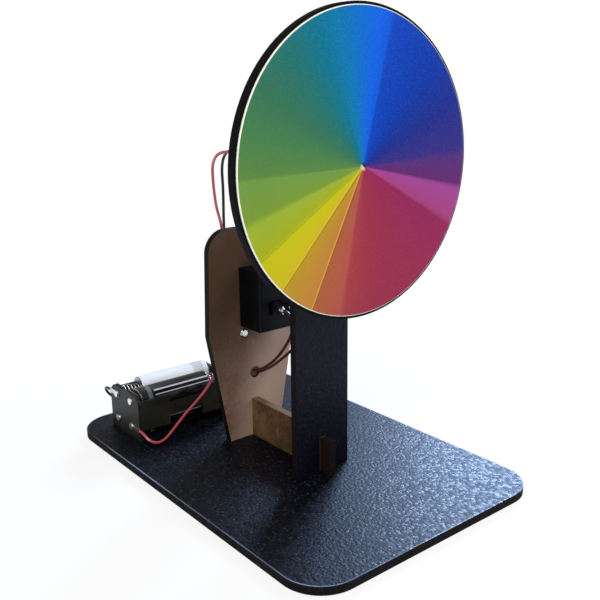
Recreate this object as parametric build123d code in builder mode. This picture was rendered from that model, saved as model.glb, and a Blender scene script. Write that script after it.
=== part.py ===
"""Motor-driven colour disc on a slotted board stand.

Frame: millimetres, +Z up, +Y to the back, origin in the middle of the underside of the base.
The disc faces -Y, so a viewer stands on the -Y side.
"""
import math
import os

from build123d import *

os.makedirs("parts", exist_ok=True)

# --------------------------------------------------------------------------
# Driving dimensions, mm
# --------------------------------------------------------------------------

# Sheet board of the stand
board_thickness = 4.5
slot_clearance = 0.1
tab_width = 9.0

# Base plate
base_width = 160.0
base_depth = 240.0
base_thickness = 4.5
base_corner_radius = 22.0

# Front post that carries the motor
post_front_setback = 87.6
post_width = 37.0
axis_height = 176.0

# Back board that carries the switch
brace_span = 59.6
back_foot_half_width = 18.6
back_flare_half_width = 31.2
back_flare_height = 73.0
back_head_half_width = 29.0
back_head_height = 135.2
back_corner_radius = 14.0

# Cross brace between post and back board
brace_height = 24.0
tenon_height = 20.0
tenon_projection = 8.4

# Colour disc
disc_diameter = 150.0
disc_thickness = 4.0
card_thickness = 1.0
disc_standoff = 26.0

# Hub
hub_flange_diameter = 28.0
hub_flange_thickness = 3.0
hub_barrel_diameter = 10.0
hub_post_gap = 1.0
hub_screw_count = 3
hub_screw_circle = 20.0
hub_screw_inset = 0.5
set_screw_setback = 8.0

# Metric screws
screw_diameter = 3.0
screw_head_diameter = 5.4
screw_head_height = 2.0
countersink_diameter = 5.8
screw_hole_clearance = 0.2
thread_clearance = 0.02

# Gear motor
shaft_diameter = 4.0
shaft_fit = 0.04
hub_fit = 0.02
shaft_flat_depth = 0.5
shaft_engagement = 10.0
shaft_end_gap = 2.0
gearbox_diameter = 25.0
gearbox_length = 20.0
gearbox_boss_diameter = 7.0
gearbox_boss_length = 2.5
gearbox_groove_depth = 0.4
gearbox_screw_spacing = 17.0
gearbox_screw_depth = 4.0
can_diameter = 24.4
can_length = 30.0
can_edge_radius = 2.5
vent_diameter = 2.4
vent_depth = 1.5
cap_diameter = 13.0
cap_thickness = 2.2
cap_boss_diameter = 7.0
cap_boss_length = 1.6
motor_tab_spacing = 11.0
motor_tab_width = 3.0
motor_tab_thickness = 0.5
motor_tab_length = 5.5

# Rocker switch
switch_centre_x = 3.0
switch_height = 93.9
switch_width = 24.0
switch_length = 35.4
switch_front_depth = 20.7
switch_edge_radius = 1.2
bezel_margin = 1.2
bezel_thickness = 2.0
rocker_well_width = 18.0
rocker_well_length = 30.0
rocker_side_gap = 0.3
rocker_end_gap = 0.4
rocker_pivot_depth = 3.5
rocker_well_below_pivot = 5.6
rocker_under_pivot = 2.4
rocker_crest = 4.6
rocker_valley = 2.4
trunnion_diameter = 3.0
trunnion_length = 1.6
trunnion_fit = 0.05
trunnion_end_gap = 0.2
blade_width = 4.8
blade_thickness = 0.8
blade_length = 7.1
blade_spacing = 7.5
blade_offset = 2.3
blade_drop = 4.3
blade_hole_diameter = 1.8
plinth_margin = 3.0
plinth_height = 1.5

# Battery cells, two over two
cell_diameter = 14.5
cell_length = 50.5
cell_nub_diameter = 5.5
cell_nub_length = 1.3
cell_edge_radius = 0.8
cell_pitch = 17.5
cell_ground_gap = 0.15
cell_seat_clearance = 0.3

# Battery holder
holder_rear_setback = 34.65
holder_centre_x = -27.45
holder_end_wall = 2.4
holder_side_wall = 1.3
holder_web = 1.2
holder_trough_rise = 1.4
holder_end_rise = 12.3
holder_end_margin = 0.4
holder_end_chamfer = 3.5
holder_ridge_half_width = 5.0
holder_window_length = 24.0
holder_window_rise = 4.0

# Battery contacts
contact_thickness = 0.4
contact_width = 11.0
contact_height = 10.0
spring_length = 12.0
spring_wire = 0.7
spring_base_radius = 4.6
spring_tip_radius = 2.6
spring_turns = 4.5
rivet_diameter = 2.2
rivet_head_diameter = 4.4
rivet_head_height = 0.9
rivet_clearance = 0.05
lug_thickness = 0.4
lug_width = 4.6
lug_tail_width = 3.0
lug_overhang = 1.2

# Leads and what holds them
lead_diameter = 1.7
sleeve_diameter = 3.4
sleeve_length = 12.0
lead_spacing = 2.7
lead_hole_x = 0.5
lead_hole_height = 45.0
lead_hole_diameter = 7.0
clip_screw_x = -7.6
clip_drop = 22.3
clip_width = 5.0
clip_band = 1.0
clip_bore = 5.4
clip_nut_diameter = 5.5
clip_nut_thickness = 2.4
clip_nut_gap = 0.3
motor_splice_top = 58.0
ground_splice_x = -10.2
ground_splice_y = 41.5
ground_splice_top = 46.0
supply_splice_front = 44.0
supply_splice_z = 43.3

# --------------------------------------------------------------------------
# Places worked out from the sizes above
# --------------------------------------------------------------------------

base_top = base_thickness
post_front_y = -base_depth / 2 + post_front_setback
post_rear_y = post_front_y + board_thickness
back_front_y = post_rear_y + brace_span
back_rear_y = back_front_y + board_thickness
disc_rear_y = post_front_y - disc_standoff
disc_front_y = disc_rear_y - disc_thickness
post_radius = post_width / 2
slot_width = board_thickness + 2 * slot_clearance
screw_hole_radius = (screw_diameter + screw_hole_clearance) / 2
thread_hole_radius = screw_diameter / 2 + thread_clearance

hub_rear_y = post_front_y - hub_post_gap
gearbox_rear_y = post_rear_y + gearbox_length
can_rear_y = gearbox_rear_y + can_length
cap_rear_y = can_rear_y + cap_thickness

bezel_rear_y = back_rear_y + bezel_thickness
switch_front_y = back_front_y - switch_front_depth
rocker_pivot_y = bezel_rear_y - rocker_pivot_depth
blade_tip_y = switch_front_y - blade_length
blade_height = switch_height - blade_drop
blade_centre_x = switch_centre_x + blade_offset
clip_height = switch_height - clip_drop

cell_radius = cell_diameter / 2
seat_radius = cell_radius + cell_seat_clearance
cell_rise = seat_radius + holder_web / 2
lower_cell_z = base_top + cell_ground_gap + cell_radius
holder_mid_z = lower_cell_z + cell_rise
upper_cell_z = holder_mid_z + cell_rise
holder_centre_y = base_depth / 2 - holder_rear_setback
front_cell_y = holder_centre_y - cell_pitch / 2
rear_cell_y = holder_centre_y + cell_pitch / 2
holder_inner_length = cell_length + spring_length + 2 * contact_thickness
holder_left_x = holder_centre_x - holder_inner_length / 2 - holder_end_wall
holder_right_x = holder_centre_x + holder_inner_length / 2 + holder_end_wall
holder_left_inner_x = holder_left_x + holder_end_wall
holder_right_inner_x = holder_right_x - holder_end_wall
left_contact_x = holder_left_inner_x + contact_thickness
right_contact_x = holder_right_inner_x - contact_thickness
holder_half_depth = cell_pitch / 2 + seat_radius + holder_side_wall
trough_half_height = cell_rise + holder_trough_rise
end_top_z = holder_mid_z + holder_end_rise
holder_ridge_height = cell_rise - contact_height / 2 - slot_clearance
end_half_depth = holder_half_depth + holder_end_margin
cell_axes = {
    "upper_rear": (rear_cell_y, upper_cell_z),
    "upper_front": (front_cell_y, upper_cell_z),
    "lower_rear": (rear_cell_y, lower_cell_z),
    "lower_front": (front_cell_y, lower_cell_z),
}


def save(builder, name):
    """Label a finished piece and write it to its own file."""
    builder.part.label = name
    export_step(builder.part, f"parts/{name}.step")


def facing_front(y, height, x=0.0):
    """Plane whose normal looks at the viewer (-Y), its own x along X and its own y along Z."""
    return Plane(origin=(x, y, height), x_dir=(1, 0, 0), z_dir=(0, -1, 0))


def facing_right(x, y=0.0, height=0.0):
    """Plane whose normal is +X, its own x along Y and its own y along Z."""
    return Plane(origin=(x, y, height), x_dir=(0, 1, 0), z_dir=(1, 0, 0))


# --------------------------------------------------------------------------
# Stand
# --------------------------------------------------------------------------

post_tab_x = post_width / 2 - tab_width / 2
back_tab_x = back_foot_half_width - tab_width / 2
post_slot_y = post_front_y + board_thickness / 2
back_slot_y = back_front_y + board_thickness / 2

with BuildPart() as base_plate:
    with BuildSketch(Plane.XY):
        RectangleRounded(base_width, base_depth, base_corner_radius)
    extrude(amount=base_thickness)
    with BuildSketch(Plane.XY):
        with Locations((post_tab_x, post_slot_y), (-post_tab_x, post_slot_y)):
            Rectangle(tab_width + 2 * slot_clearance, slot_width)
        with Locations((back_tab_x, back_slot_y), (-back_tab_x, back_slot_y)):
            Rectangle(tab_width + 2 * slot_clearance, slot_width)
    extrude(amount=base_thickness, mode=Mode.SUBTRACT)
save(base_plate, "base_plate")

with BuildPart() as front_post:
    with BuildSketch(facing_front(post_rear_y, 0)):
        with BuildLine():
            Line((-post_radius, base_top), (post_radius, base_top))
            Line((post_radius, base_top), (post_radius, axis_height))
            RadiusArc((post_radius, axis_height), (0, axis_height + post_radius), -post_radius)
            RadiusArc((0, axis_height + post_radius), (-post_radius, axis_height), -post_radius)
            Line((-post_radius, axis_height), (-post_radius, base_top))
        make_face()
        with Locations((post_tab_x, base_top / 2), (-post_tab_x, base_top / 2)):
            Rectangle(tab_width, base_thickness)
        with Locations((0, base_top + tenon_height / 2)):
            Rectangle(slot_width, tenon_height + 2 * slot_clearance, mode=Mode.SUBTRACT)
        with Locations((0, axis_height)):
            Circle(gearbox_boss_diameter / 2 + slot_clearance, mode=Mode.SUBTRACT)
        with Locations(
            (gearbox_screw_spacing / 2, axis_height), (-gearbox_screw_spacing / 2, axis_height)
        ):
            Circle(screw_hole_radius, mode=Mode.SUBTRACT)
    extrude(amount=board_thickness)
save(front_post, "front_post")

with BuildPart() as back_board:
    with BuildSketch(facing_front(back_rear_y, 0)) as back_outline:
        with BuildLine():
            Polyline(
                (-back_foot_half_width, base_top),
                (back_foot_half_width, base_top),
                (back_flare_half_width, back_flare_height),
                (back_head_half_width, back_head_height),
                (-back_head_half_width, back_head_height),
                (-back_flare_half_width, back_flare_height),
                close=True,
            )
        make_face()
        fillet(back_outline.vertices().group_by(Axis.Y)[-1], back_corner_radius)
        with Locations((back_tab_x, base_top / 2), (-back_tab_x, base_top / 2)):
            Rectangle(tab_width, base_thickness)
        with Locations((0, base_top + tenon_height / 2)):
            Rectangle(slot_width, tenon_height + 2 * slot_clearance, mode=Mode.SUBTRACT)
        with Locations((switch_centre_x, switch_height)):
            Rectangle(
                switch_width + 2 * slot_clearance,
                switch_length + 2 * slot_clearance,
                mode=Mode.SUBTRACT,
            )
        with Locations((lead_hole_x, lead_hole_height)):
            Circle(lead_hole_diameter / 2, mode=Mode.SUBTRACT)
        with Locations((clip_screw_x, clip_height)):
            Circle(screw_hole_radius, mode=Mode.SUBTRACT)
    extrude(amount=board_thickness)
save(back_board, "back_board")

with BuildPart() as cross_brace:
    tenon_front_y = post_front_y - tenon_projection
    tenon_rear_y = back_rear_y + tenon_projection
    with BuildSketch(facing_right(-board_thickness / 2)):
        with BuildLine():
            Polyline(
                (tenon_front_y, base_top),
                (tenon_rear_y, base_top),
                (tenon_rear_y, base_top + tenon_height),
                (back_front_y, base_top + tenon_height),
                (back_front_y, base_top + brace_height),
                (post_rear_y, base_top + brace_height),
                (post_rear_y, base_top + tenon_height),
                (tenon_front_y, base_top + tenon_height),
                close=True,
            )
        make_face()
    extrude(amount=board_thickness)
save(cross_brace, "cross_brace")

# --------------------------------------------------------------------------
# Disc, colour card and hub
# --------------------------------------------------------------------------

hub_screw_radius = hub_screw_circle / 2
flange_front_y = disc_rear_y + hub_flange_thickness
shaft_front_y = disc_rear_y + shaft_end_gap

with BuildPart() as disc_board:
    with BuildSketch(facing_front(disc_rear_y, axis_height)):
        Circle(disc_diameter / 2)
    extrude(amount=disc_thickness)
    with Locations(facing_front(disc_front_y, axis_height)):
        with PolarLocations(hub_screw_radius, hub_screw_count, 90):
            CounterSinkHole(screw_hole_radius, countersink_diameter / 2)
save(disc_board, "disc_board")

with BuildPart() as colour_card:
    with BuildSketch(facing_front(disc_front_y, axis_height)):
        Circle(disc_diameter / 2)
    extrude(amount=card_thickness)
save(colour_card, "colour_card")

with BuildPart() as disc_hub:
    with BuildSketch(facing_front(flange_front_y, axis_height)):
        Circle(hub_flange_diameter / 2)
    extrude(amount=hub_flange_thickness)
    with BuildSketch(facing_front(hub_rear_y, axis_height)):
        Circle(hub_barrel_diameter / 2)
    extrude(amount=hub_rear_y - flange_front_y)
    with BuildSketch(facing_front(hub_rear_y, axis_height)):
        Circle(shaft_diameter / 2 + hub_fit)
    extrude(amount=hub_rear_y - disc_rear_y, mode=Mode.SUBTRACT)
    with BuildSketch(facing_front(flange_front_y, axis_height)):
        with PolarLocations(hub_screw_radius, hub_screw_count, 90):
            Circle(thread_hole_radius)
    extrude(amount=hub_flange_thickness, mode=Mode.SUBTRACT)
    set_screw_y = hub_rear_y - set_screw_setback
    with BuildSketch(Plane.XY.offset(axis_height)):
        with Locations((0, set_screw_y)):
            Circle(thread_hole_radius)
    extrude(amount=hub_barrel_diameter, mode=Mode.SUBTRACT)
save(disc_hub, "disc_hub")

flat_height = shaft_diameter / 2 - shaft_flat_depth
set_screw_length = hub_barrel_diameter / 2 - flat_height

with BuildPart() as hub_set_screw:
    with BuildSketch(Plane.XY.offset(axis_height + flat_height)):
        with Locations((0, set_screw_y)):
            Circle(screw_diameter / 2)
    extrude(amount=set_screw_length)
    with BuildSketch(Plane.XY.offset(axis_height + hub_barrel_diameter / 2)):
        with Locations((0, set_screw_y)):
            RegularPolygon(screw_diameter / 4, 6)
    extrude(amount=-set_screw_length / 2, mode=Mode.SUBTRACT)
save(hub_set_screw, "hub_set_screw")

with BuildPart() as hub_screws:
    hub_screw_length = disc_thickness + hub_flange_thickness - hub_screw_inset
    countersink_height = (countersink_diameter - screw_diameter - screw_hole_clearance) / 2
    with BuildSketch(facing_front(disc_front_y, axis_height)):
        with PolarLocations(hub_screw_radius, hub_screw_count, 90):
            Circle(screw_diameter / 2)
    extrude(amount=-hub_screw_length)
    with Locations(facing_front(disc_front_y, axis_height)):
        with PolarLocations(hub_screw_radius, hub_screw_count, 90):
            Cone(
                screw_diameter / 2,
                screw_diameter / 2 + countersink_height,
                countersink_height,
                align=(Align.CENTER, Align.CENTER, Align.MAX),
            )
    with BuildSketch(facing_front(disc_front_y, axis_height)):
        with PolarLocations(hub_screw_radius, hub_screw_count, 90):
            Rectangle(screw_diameter, screw_diameter / 5)
            Rectangle(screw_diameter / 5, screw_diameter)
    extrude(amount=-countersink_height / 2, mode=Mode.SUBTRACT)
save(hub_screws, "hub_screws")

# --------------------------------------------------------------------------
# Gear motor
# --------------------------------------------------------------------------

with BuildPart() as motor_shaft:
    shaft_rear_y = post_rear_y + shaft_engagement
    with BuildSketch(facing_front(shaft_rear_y, axis_height)):
        Circle(shaft_diameter / 2)
    extrude(amount=shaft_rear_y - shaft_front_y)
    with BuildSketch(facing_front(hub_rear_y, axis_height)):
        with Locations((0, shaft_diameter / 2)):
            Rectangle(shaft_diameter, 2 * shaft_flat_depth)
    extrude(amount=hub_rear_y - shaft_front_y, mode=Mode.SUBTRACT)
save(motor_shaft, "motor_shaft")

with BuildPart() as motor_gearbox:
    boss_radius = gearbox_boss_diameter / 2
    gear_radius = gearbox_diameter / 2
    waist_radius = gear_radius - gearbox_groove_depth
    plate = gearbox_length / 10
    with BuildSketch(facing_front(gearbox_rear_y, axis_height)):
        Circle(waist_radius)
    extrude(amount=gearbox_length)
    with BuildSketch(facing_front(post_rear_y + plate, axis_height)):
        Circle(gear_radius)
    extrude(amount=plate)
    with BuildSketch(facing_front(gearbox_rear_y - plate, axis_height)):
        Circle(gear_radius)
    extrude(amount=gearbox_length - 3 * plate)
    with BuildSketch(facing_front(post_rear_y, axis_height)):
        Circle(boss_radius)
    extrude(amount=gearbox_boss_length)
    with BuildSketch(facing_front(post_rear_y - gearbox_boss_length, axis_height)):
        Circle(shaft_diameter / 2 + shaft_fit)
    extrude(amount=-(gearbox_boss_length + shaft_engagement + slot_clearance), mode=Mode.SUBTRACT)
    with BuildSketch(facing_front(post_rear_y, axis_height)):
        with GridLocations(gearbox_screw_spacing, 0, 2, 1):
            Circle(thread_hole_radius)
    extrude(amount=-gearbox_screw_depth, mode=Mode.SUBTRACT)
save(motor_gearbox, "motor_gearbox")

with BuildPart() as motor_screws:
    with BuildSketch(facing_front(post_front_y, axis_height)):
        with GridLocations(gearbox_screw_spacing, 0, 2, 1):
            Circle(screw_head_diameter / 2)
    extrude(amount=screw_head_height)
    fillet(motor_screws.faces().sort_by(Axis.Y)[:2].edges(), screw_head_height / 3)
    with BuildSketch(facing_front(post_front_y, axis_height)):
        with GridLocations(gearbox_screw_spacing, 0, 2, 1):
            Circle(screw_diameter / 2)
    extrude(amount=-(board_thickness + gearbox_screw_depth - slot_clearance))
    with BuildSketch(facing_front(post_front_y - screw_head_height, axis_height)):
        with GridLocations(gearbox_screw_spacing, 0, 2, 1):
            Rectangle(screw_diameter, screw_diameter / 5)
            Rectangle(screw_diameter / 5, screw_diameter)
    extrude(amount=-screw_head_height / 2, mode=Mode.SUBTRACT)
save(motor_screws, "motor_screws")

with BuildPart() as motor_can:
    with BuildSketch(facing_front(can_rear_y, axis_height)):
        Circle(can_diameter / 2)
    extrude(amount=can_length)
    fillet(motor_can.faces().sort_by(Axis.Y)[-1].edges(), can_edge_radius)
    vent_radius = (can_diameter / 2 - can_edge_radius + cap_diameter / 2) / 2
    with BuildSketch(facing_front(can_rear_y, axis_height)):
        with PolarLocations(vent_radius, 2, 90):
            Circle(vent_diameter / 2)
    extrude(amount=vent_depth, mode=Mode.SUBTRACT)
save(motor_can, "motor_can")

with BuildPart() as motor_end_cap:
    with BuildSketch(facing_front(cap_rear_y, axis_height)):
        Circle(cap_diameter / 2)
        with GridLocations(motor_tab_spacing, 0, 2, 1):
            Rectangle(
                motor_tab_thickness + 2 * thread_clearance,
                motor_tab_width + 2 * thread_clearance,
                mode=Mode.SUBTRACT,
            )
    extrude(amount=cap_thickness)
    with BuildSketch(facing_front(cap_rear_y, axis_height)):
        Circle(cap_boss_diameter / 2)
    extrude(amount=-cap_boss_length)
    fillet(motor_end_cap.faces().sort_by(Axis.Y)[-1].edges(), cap_boss_length / 3)
save(motor_end_cap, "motor_end_cap")

with BuildPart() as motor_terminals:
    with BuildSketch(facing_front(can_rear_y, axis_height)):
        with GridLocations(motor_tab_spacing, 0, 2, 1):
            Rectangle(motor_tab_thickness, motor_tab_width)
    extrude(amount=-(cap_thickness + motor_tab_length))
save(motor_terminals, "motor_terminals")

# --------------------------------------------------------------------------
# Rocker switch
# --------------------------------------------------------------------------

with BuildPart() as switch_body:
    bezel_width = switch_width + 2 * bezel_margin
    bezel_length = switch_length + 2 * bezel_margin
    with BuildSketch(facing_front(back_rear_y, switch_height, switch_centre_x)):
        Rectangle(switch_width, switch_length)
    extrude(amount=back_rear_y - switch_front_y)
    fillet(switch_body.faces().sort_by(Axis.Y)[0].edges(), switch_edge_radius)
    with BuildSketch(facing_front(bezel_rear_y, switch_height, switch_centre_x)):
        RectangleRounded(bezel_width, bezel_length, 2 * bezel_margin)
    extrude(amount=bezel_thickness)
    chamfer(switch_body.faces().sort_by(Axis.Y)[-1].edges(), bezel_thickness / 3)
    with BuildSketch(facing_front(switch_front_y, blade_height, blade_centre_x)):
        Rectangle(blade_spacing + blade_thickness + 2 * plinth_margin, blade_width + plinth_margin)
    extrude(amount=plinth_height)
    with BuildSketch(facing_front(bezel_rear_y, switch_height, switch_centre_x)):
        Rectangle(rocker_well_width, rocker_well_length)
    extrude(amount=rocker_pivot_depth + rocker_well_below_pivot, mode=Mode.SUBTRACT)
    with BuildSketch(facing_right(switch_centre_x, rocker_pivot_y, switch_height)):
        Circle(trunnion_diameter / 2 + trunnion_fit)
    extrude(
        amount=rocker_well_width / 2 - rocker_side_gap + trunnion_length + trunnion_end_gap,
        both=True,
        mode=Mode.SUBTRACT,
    )
    with BuildSketch(facing_front(switch_front_y, blade_height, blade_centre_x)):
        with GridLocations(blade_spacing, 0, 2, 1):
            Rectangle(blade_thickness + 2 * thread_clearance, blade_width + 2 * thread_clearance)
    extrude(amount=plinth_height, mode=Mode.SUBTRACT)
save(switch_body, "switch_body")

with BuildPart() as switch_rocker:
    rocker_reach = rocker_well_length / 2 - rocker_end_gap
    crest_height = math.sqrt(rocker_reach**2 - rocker_crest**2)
    heel_height = math.sqrt(rocker_reach**2 - rocker_under_pivot**2)
    rocker_half_width = rocker_well_width / 2 - rocker_side_gap
    with BuildSketch(facing_right(switch_centre_x, rocker_pivot_y, switch_height)):
        with BuildLine():
            Line((-rocker_under_pivot, -heel_height), (-rocker_under_pivot, heel_height))
            RadiusArc(
                (-rocker_under_pivot, heel_height), (rocker_crest, crest_height), rocker_reach
            )
            ThreePointArc(
                (rocker_crest, crest_height),
                (rocker_valley, 0),
                (rocker_crest, -crest_height),
            )
            RadiusArc(
                (rocker_crest, -crest_height), (-rocker_under_pivot, -heel_height), rocker_reach
            )
        make_face()
    extrude(amount=rocker_half_width, both=True)
    with BuildSketch(facing_right(switch_centre_x, rocker_pivot_y, switch_height)):
        Circle(trunnion_diameter / 2)
    extrude(amount=rocker_half_width + trunnion_length, both=True)
save(switch_rocker, "switch_rocker")

with BuildPart() as switch_terminals:
    with BuildSketch(facing_front(switch_front_y, blade_height, blade_centre_x)):
        with GridLocations(blade_spacing, 0, 2, 1):
            Rectangle(blade_thickness, blade_width)
    extrude(amount=blade_length)
    with BuildSketch(facing_right(blade_centre_x, blade_tip_y + blade_width / 2, blade_height)):
        Circle(blade_hole_diameter / 2)
    extrude(amount=blade_spacing, both=True, mode=Mode.SUBTRACT)
save(switch_terminals, "switch_terminals")

# --------------------------------------------------------------------------
# Battery cells
# --------------------------------------------------------------------------


def battery_cell(axis, nub_on_left):
    """Round cell along X with its raised end on one side, standing off by the spring's length."""
    y, height = axis
    start_x = left_contact_x if nub_on_left else left_contact_x + spring_length
    body_length = cell_length - cell_nub_length
    body_x = start_x + cell_nub_length if nub_on_left else start_x
    nub_x = start_x if nub_on_left else start_x + body_length
    with BuildPart() as cell:
        with BuildSketch(facing_right(body_x, y, height)):
            Circle(cell_radius)
        extrude(amount=body_length)
        fillet(cell.edges().filter_by(GeomType.CIRCLE), cell_edge_radius)
        with BuildSketch(facing_right(nub_x, y, height)):
            Circle(cell_nub_diameter / 2)
        extrude(amount=cell_nub_length)
    return cell


nub_on_left = {
    "upper_rear": False,
    "upper_front": True,
    "lower_rear": False,
    "lower_front": True,
}
for place, axis in cell_axes.items():
    save(battery_cell(axis, nub_on_left[place]), f"cell_{place}")

# --------------------------------------------------------------------------
# Battery holder
# --------------------------------------------------------------------------

rivet_hole_radius = rivet_diameter / 2 + rivet_clearance

with BuildPart() as battery_holder:
    with BuildSketch(facing_right(holder_left_x, holder_centre_y, holder_mid_z)):
        Rectangle(2 * holder_half_depth, 2 * trough_half_height)
        for side in (-1, 1):
            with Locations((-cell_pitch / 2, side * cell_rise), (cell_pitch / 2, side * cell_rise)):
                Circle(seat_radius, mode=Mode.SUBTRACT)
            ridge_cut = trough_half_height - holder_ridge_height
            with Locations((0, side * (holder_ridge_height + ridge_cut / 2))):
                Rectangle(2 * holder_ridge_half_width, ridge_cut, mode=Mode.SUBTRACT)
    extrude(amount=holder_right_x - holder_left_x)
    with BuildSketch(facing_right(holder_left_x, holder_centre_y, 0)):
        with BuildLine():
            Polyline(
                (-end_half_depth, base_top),
                (end_half_depth, base_top),
                (end_half_depth, end_top_z - holder_end_chamfer),
                (end_half_depth - holder_end_chamfer, end_top_z),
                (holder_end_chamfer - end_half_depth, end_top_z),
                (-end_half_depth, end_top_z - holder_end_chamfer),
                close=True,
            )
        make_face()
    extrude(amount=holder_end_wall)
    with BuildSketch(facing_right(holder_right_inner_x, holder_centre_y, 0)):
        with BuildLine():
            Polyline(
                (-end_half_depth, base_top),
                (end_half_depth, base_top),
                (end_half_depth, end_top_z - holder_end_chamfer),
                (end_half_depth - holder_end_chamfer, end_top_z),
                (holder_end_chamfer - end_half_depth, end_top_z),
                (-end_half_depth, end_top_z - holder_end_chamfer),
                close=True,
            )
        make_face()
    extrude(amount=holder_end_wall)
    with BuildSketch(facing_right(holder_left_x, holder_centre_y, holder_mid_z)):
        with GridLocations(cell_pitch, 2 * cell_rise, 2, 2):
            Circle(rivet_hole_radius)
    extrude(amount=holder_right_x - holder_left_x, mode=Mode.SUBTRACT)
    with BuildSketch(facing_front(holder_centre_y + end_half_depth, 0, holder_centre_x)):
        window_height = trough_half_height - holder_window_rise
        for side in (-1, 1):
            window_z = holder_mid_z + side * (holder_window_rise + window_height / 2)
            with Locations((0, window_z)):
                Rectangle(holder_window_length, window_height)
    extrude(amount=2 * end_half_depth, mode=Mode.SUBTRACT)
save(battery_holder, "battery_holder")

# --------------------------------------------------------------------------
# Contacts, rivets and lead lugs
# --------------------------------------------------------------------------

with BuildPart() as contact_plates:
    with BuildSketch(facing_right(holder_left_inner_x, holder_centre_y, holder_mid_z)):
        with GridLocations(cell_pitch, 2 * cell_rise, 2, 2):
            Rectangle(contact_width, contact_height)
            Circle(rivet_hole_radius, mode=Mode.SUBTRACT)
    extrude(amount=contact_thickness)
    with BuildSketch(facing_right(right_contact_x, holder_centre_y, holder_mid_z)):
        with GridLocations(0, 2 * cell_rise, 1, 2):
            Rectangle(cell_pitch + contact_width, contact_height)
        with GridLocations(cell_pitch, 2 * cell_rise, 2, 2):
            Circle(rivet_hole_radius, mode=Mode.SUBTRACT)
    extrude(amount=contact_thickness)
save(contact_plates, "contact_plates")

with BuildPart() as lead_lugs:
    front_tail_y = holder_centre_y - end_half_depth - lug_overhang
    rear_tail_y = holder_centre_y + end_half_depth + lug_overhang
    with BuildSketch(facing_right(holder_left_x - lug_thickness)):
        with Locations((front_cell_y, lower_cell_z), (rear_cell_y, upper_cell_z)):
            Circle(lug_width / 2)
        with Locations(((front_cell_y + front_tail_y) / 2, lower_cell_z)):
            Rectangle(front_cell_y - front_tail_y, lug_tail_width)
        with Locations(((rear_cell_y + rear_tail_y) / 2, upper_cell_z)):
            Rectangle(rear_tail_y - rear_cell_y, lug_tail_width)
        with Locations((front_cell_y, lower_cell_z), (rear_cell_y, upper_cell_z)):
            Circle(rivet_hole_radius, mode=Mode.SUBTRACT)
    extrude(amount=lug_thickness)
save(lead_lugs, "lead_lugs")


def rivets(name, outer_x, direction, grip, lug_places):
    """Four tubular rivets through one end wall, with a raised head outside."""
    with BuildPart() as group:
        for place, (y, height) in cell_axes.items():
            head_x = outer_x - direction * (lug_thickness if place in lug_places else 0)
            with BuildSketch(facing_right(head_x, y, height)):
                Circle(rivet_head_diameter / 2)
            extrude(amount=-direction * rivet_head_height, taper=12 * direction)
            with BuildSketch(facing_right(head_x, y, height)):
                Circle(rivet_diameter / 2)
            extrude(amount=direction * (grip + abs(head_x - outer_x)))
    save(group, name)


rivet_grip = holder_end_wall + contact_thickness
rivets("left_rivets", holder_left_x, 1, rivet_grip, ("lower_front", "upper_rear"))
rivets("right_rivets", holder_right_x, -1, rivet_grip, ())

# --------------------------------------------------------------------------
# Contact springs: conical coils of round wire, one for each flat cell end
# --------------------------------------------------------------------------


def spring_point(turn, start_x, direction, y, height):
    """Point on the middle of the coil's wire after a number of turns, and its direction."""
    rise = spring_length - spring_wire
    share = turn / spring_turns
    radius = spring_base_radius + (spring_tip_radius - spring_base_radius) * share
    slope = (spring_tip_radius - spring_base_radius) / spring_turns / (2 * math.pi)
    angle = 2 * math.pi * turn
    point = Vector(
        start_x + direction * (spring_wire / 2 + rise * share),
        y + radius * math.cos(angle),
        height + radius * math.sin(angle),
    )
    heading = Vector(
        direction * rise / spring_turns / (2 * math.pi),
        slope * math.cos(angle) - radius * math.sin(angle),
        slope * math.sin(angle) + radius * math.cos(angle),
    )
    return point, heading.normalized()


def contact_spring(name, start_x, direction, axis):
    """Conical coil whose quarter turns are each a pair of tangent arcs."""
    quarters = round(4 * spring_turns)
    stations = [spring_point(q / 4, start_x, direction, *axis) for q in range(quarters + 1)]
    with BuildPart() as spring:
        with BuildLine():
            for (start, leaving), (end, arriving) in zip(stations, stations[1:]):
                chord = end - start
                both = leaving + arriving
                spread = 2 * (1 - leaving.dot(arriving))
                along = chord.dot(both)
                reach = (math.sqrt(along**2 + spread * chord.dot(chord)) - along) / spread
                first_corner = start + leaving * reach
                second_corner = end - arriving * reach
                middle = (first_corner + second_corner) * 0.5
                TangentArc(start, middle, tangent=leaving)
                TangentArc(middle, end, tangent=second_corner - first_corner)
        with BuildSketch(Plane(origin=stations[0][0], z_dir=stations[0][1])):
            Circle(spring_wire / 2)
        sweep()
    save(spring, name)


least_pitch = (spring_length - spring_wire) / spring_turns
print(f"contact springs: least gap between turns {least_pitch - spring_wire:.2f} mm")
for place, axis in cell_axes.items():
    if nub_on_left[place]:
        contact_spring(f"spring_{place}", right_contact_x, -1, axis)
    else:
        contact_spring(f"spring_{place}", left_contact_x, 1, axis)

# --------------------------------------------------------------------------
# Lead clip, splice sleeves
# --------------------------------------------------------------------------

clip_outer = clip_bore / 2 + clip_band
clip_axis_y = back_rear_y + clip_outer
nut_corner = clip_nut_diameter / 2 / math.cos(math.pi / 6)
clip_loop_x = clip_screw_x - nut_corner - clip_nut_gap - clip_outer

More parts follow.
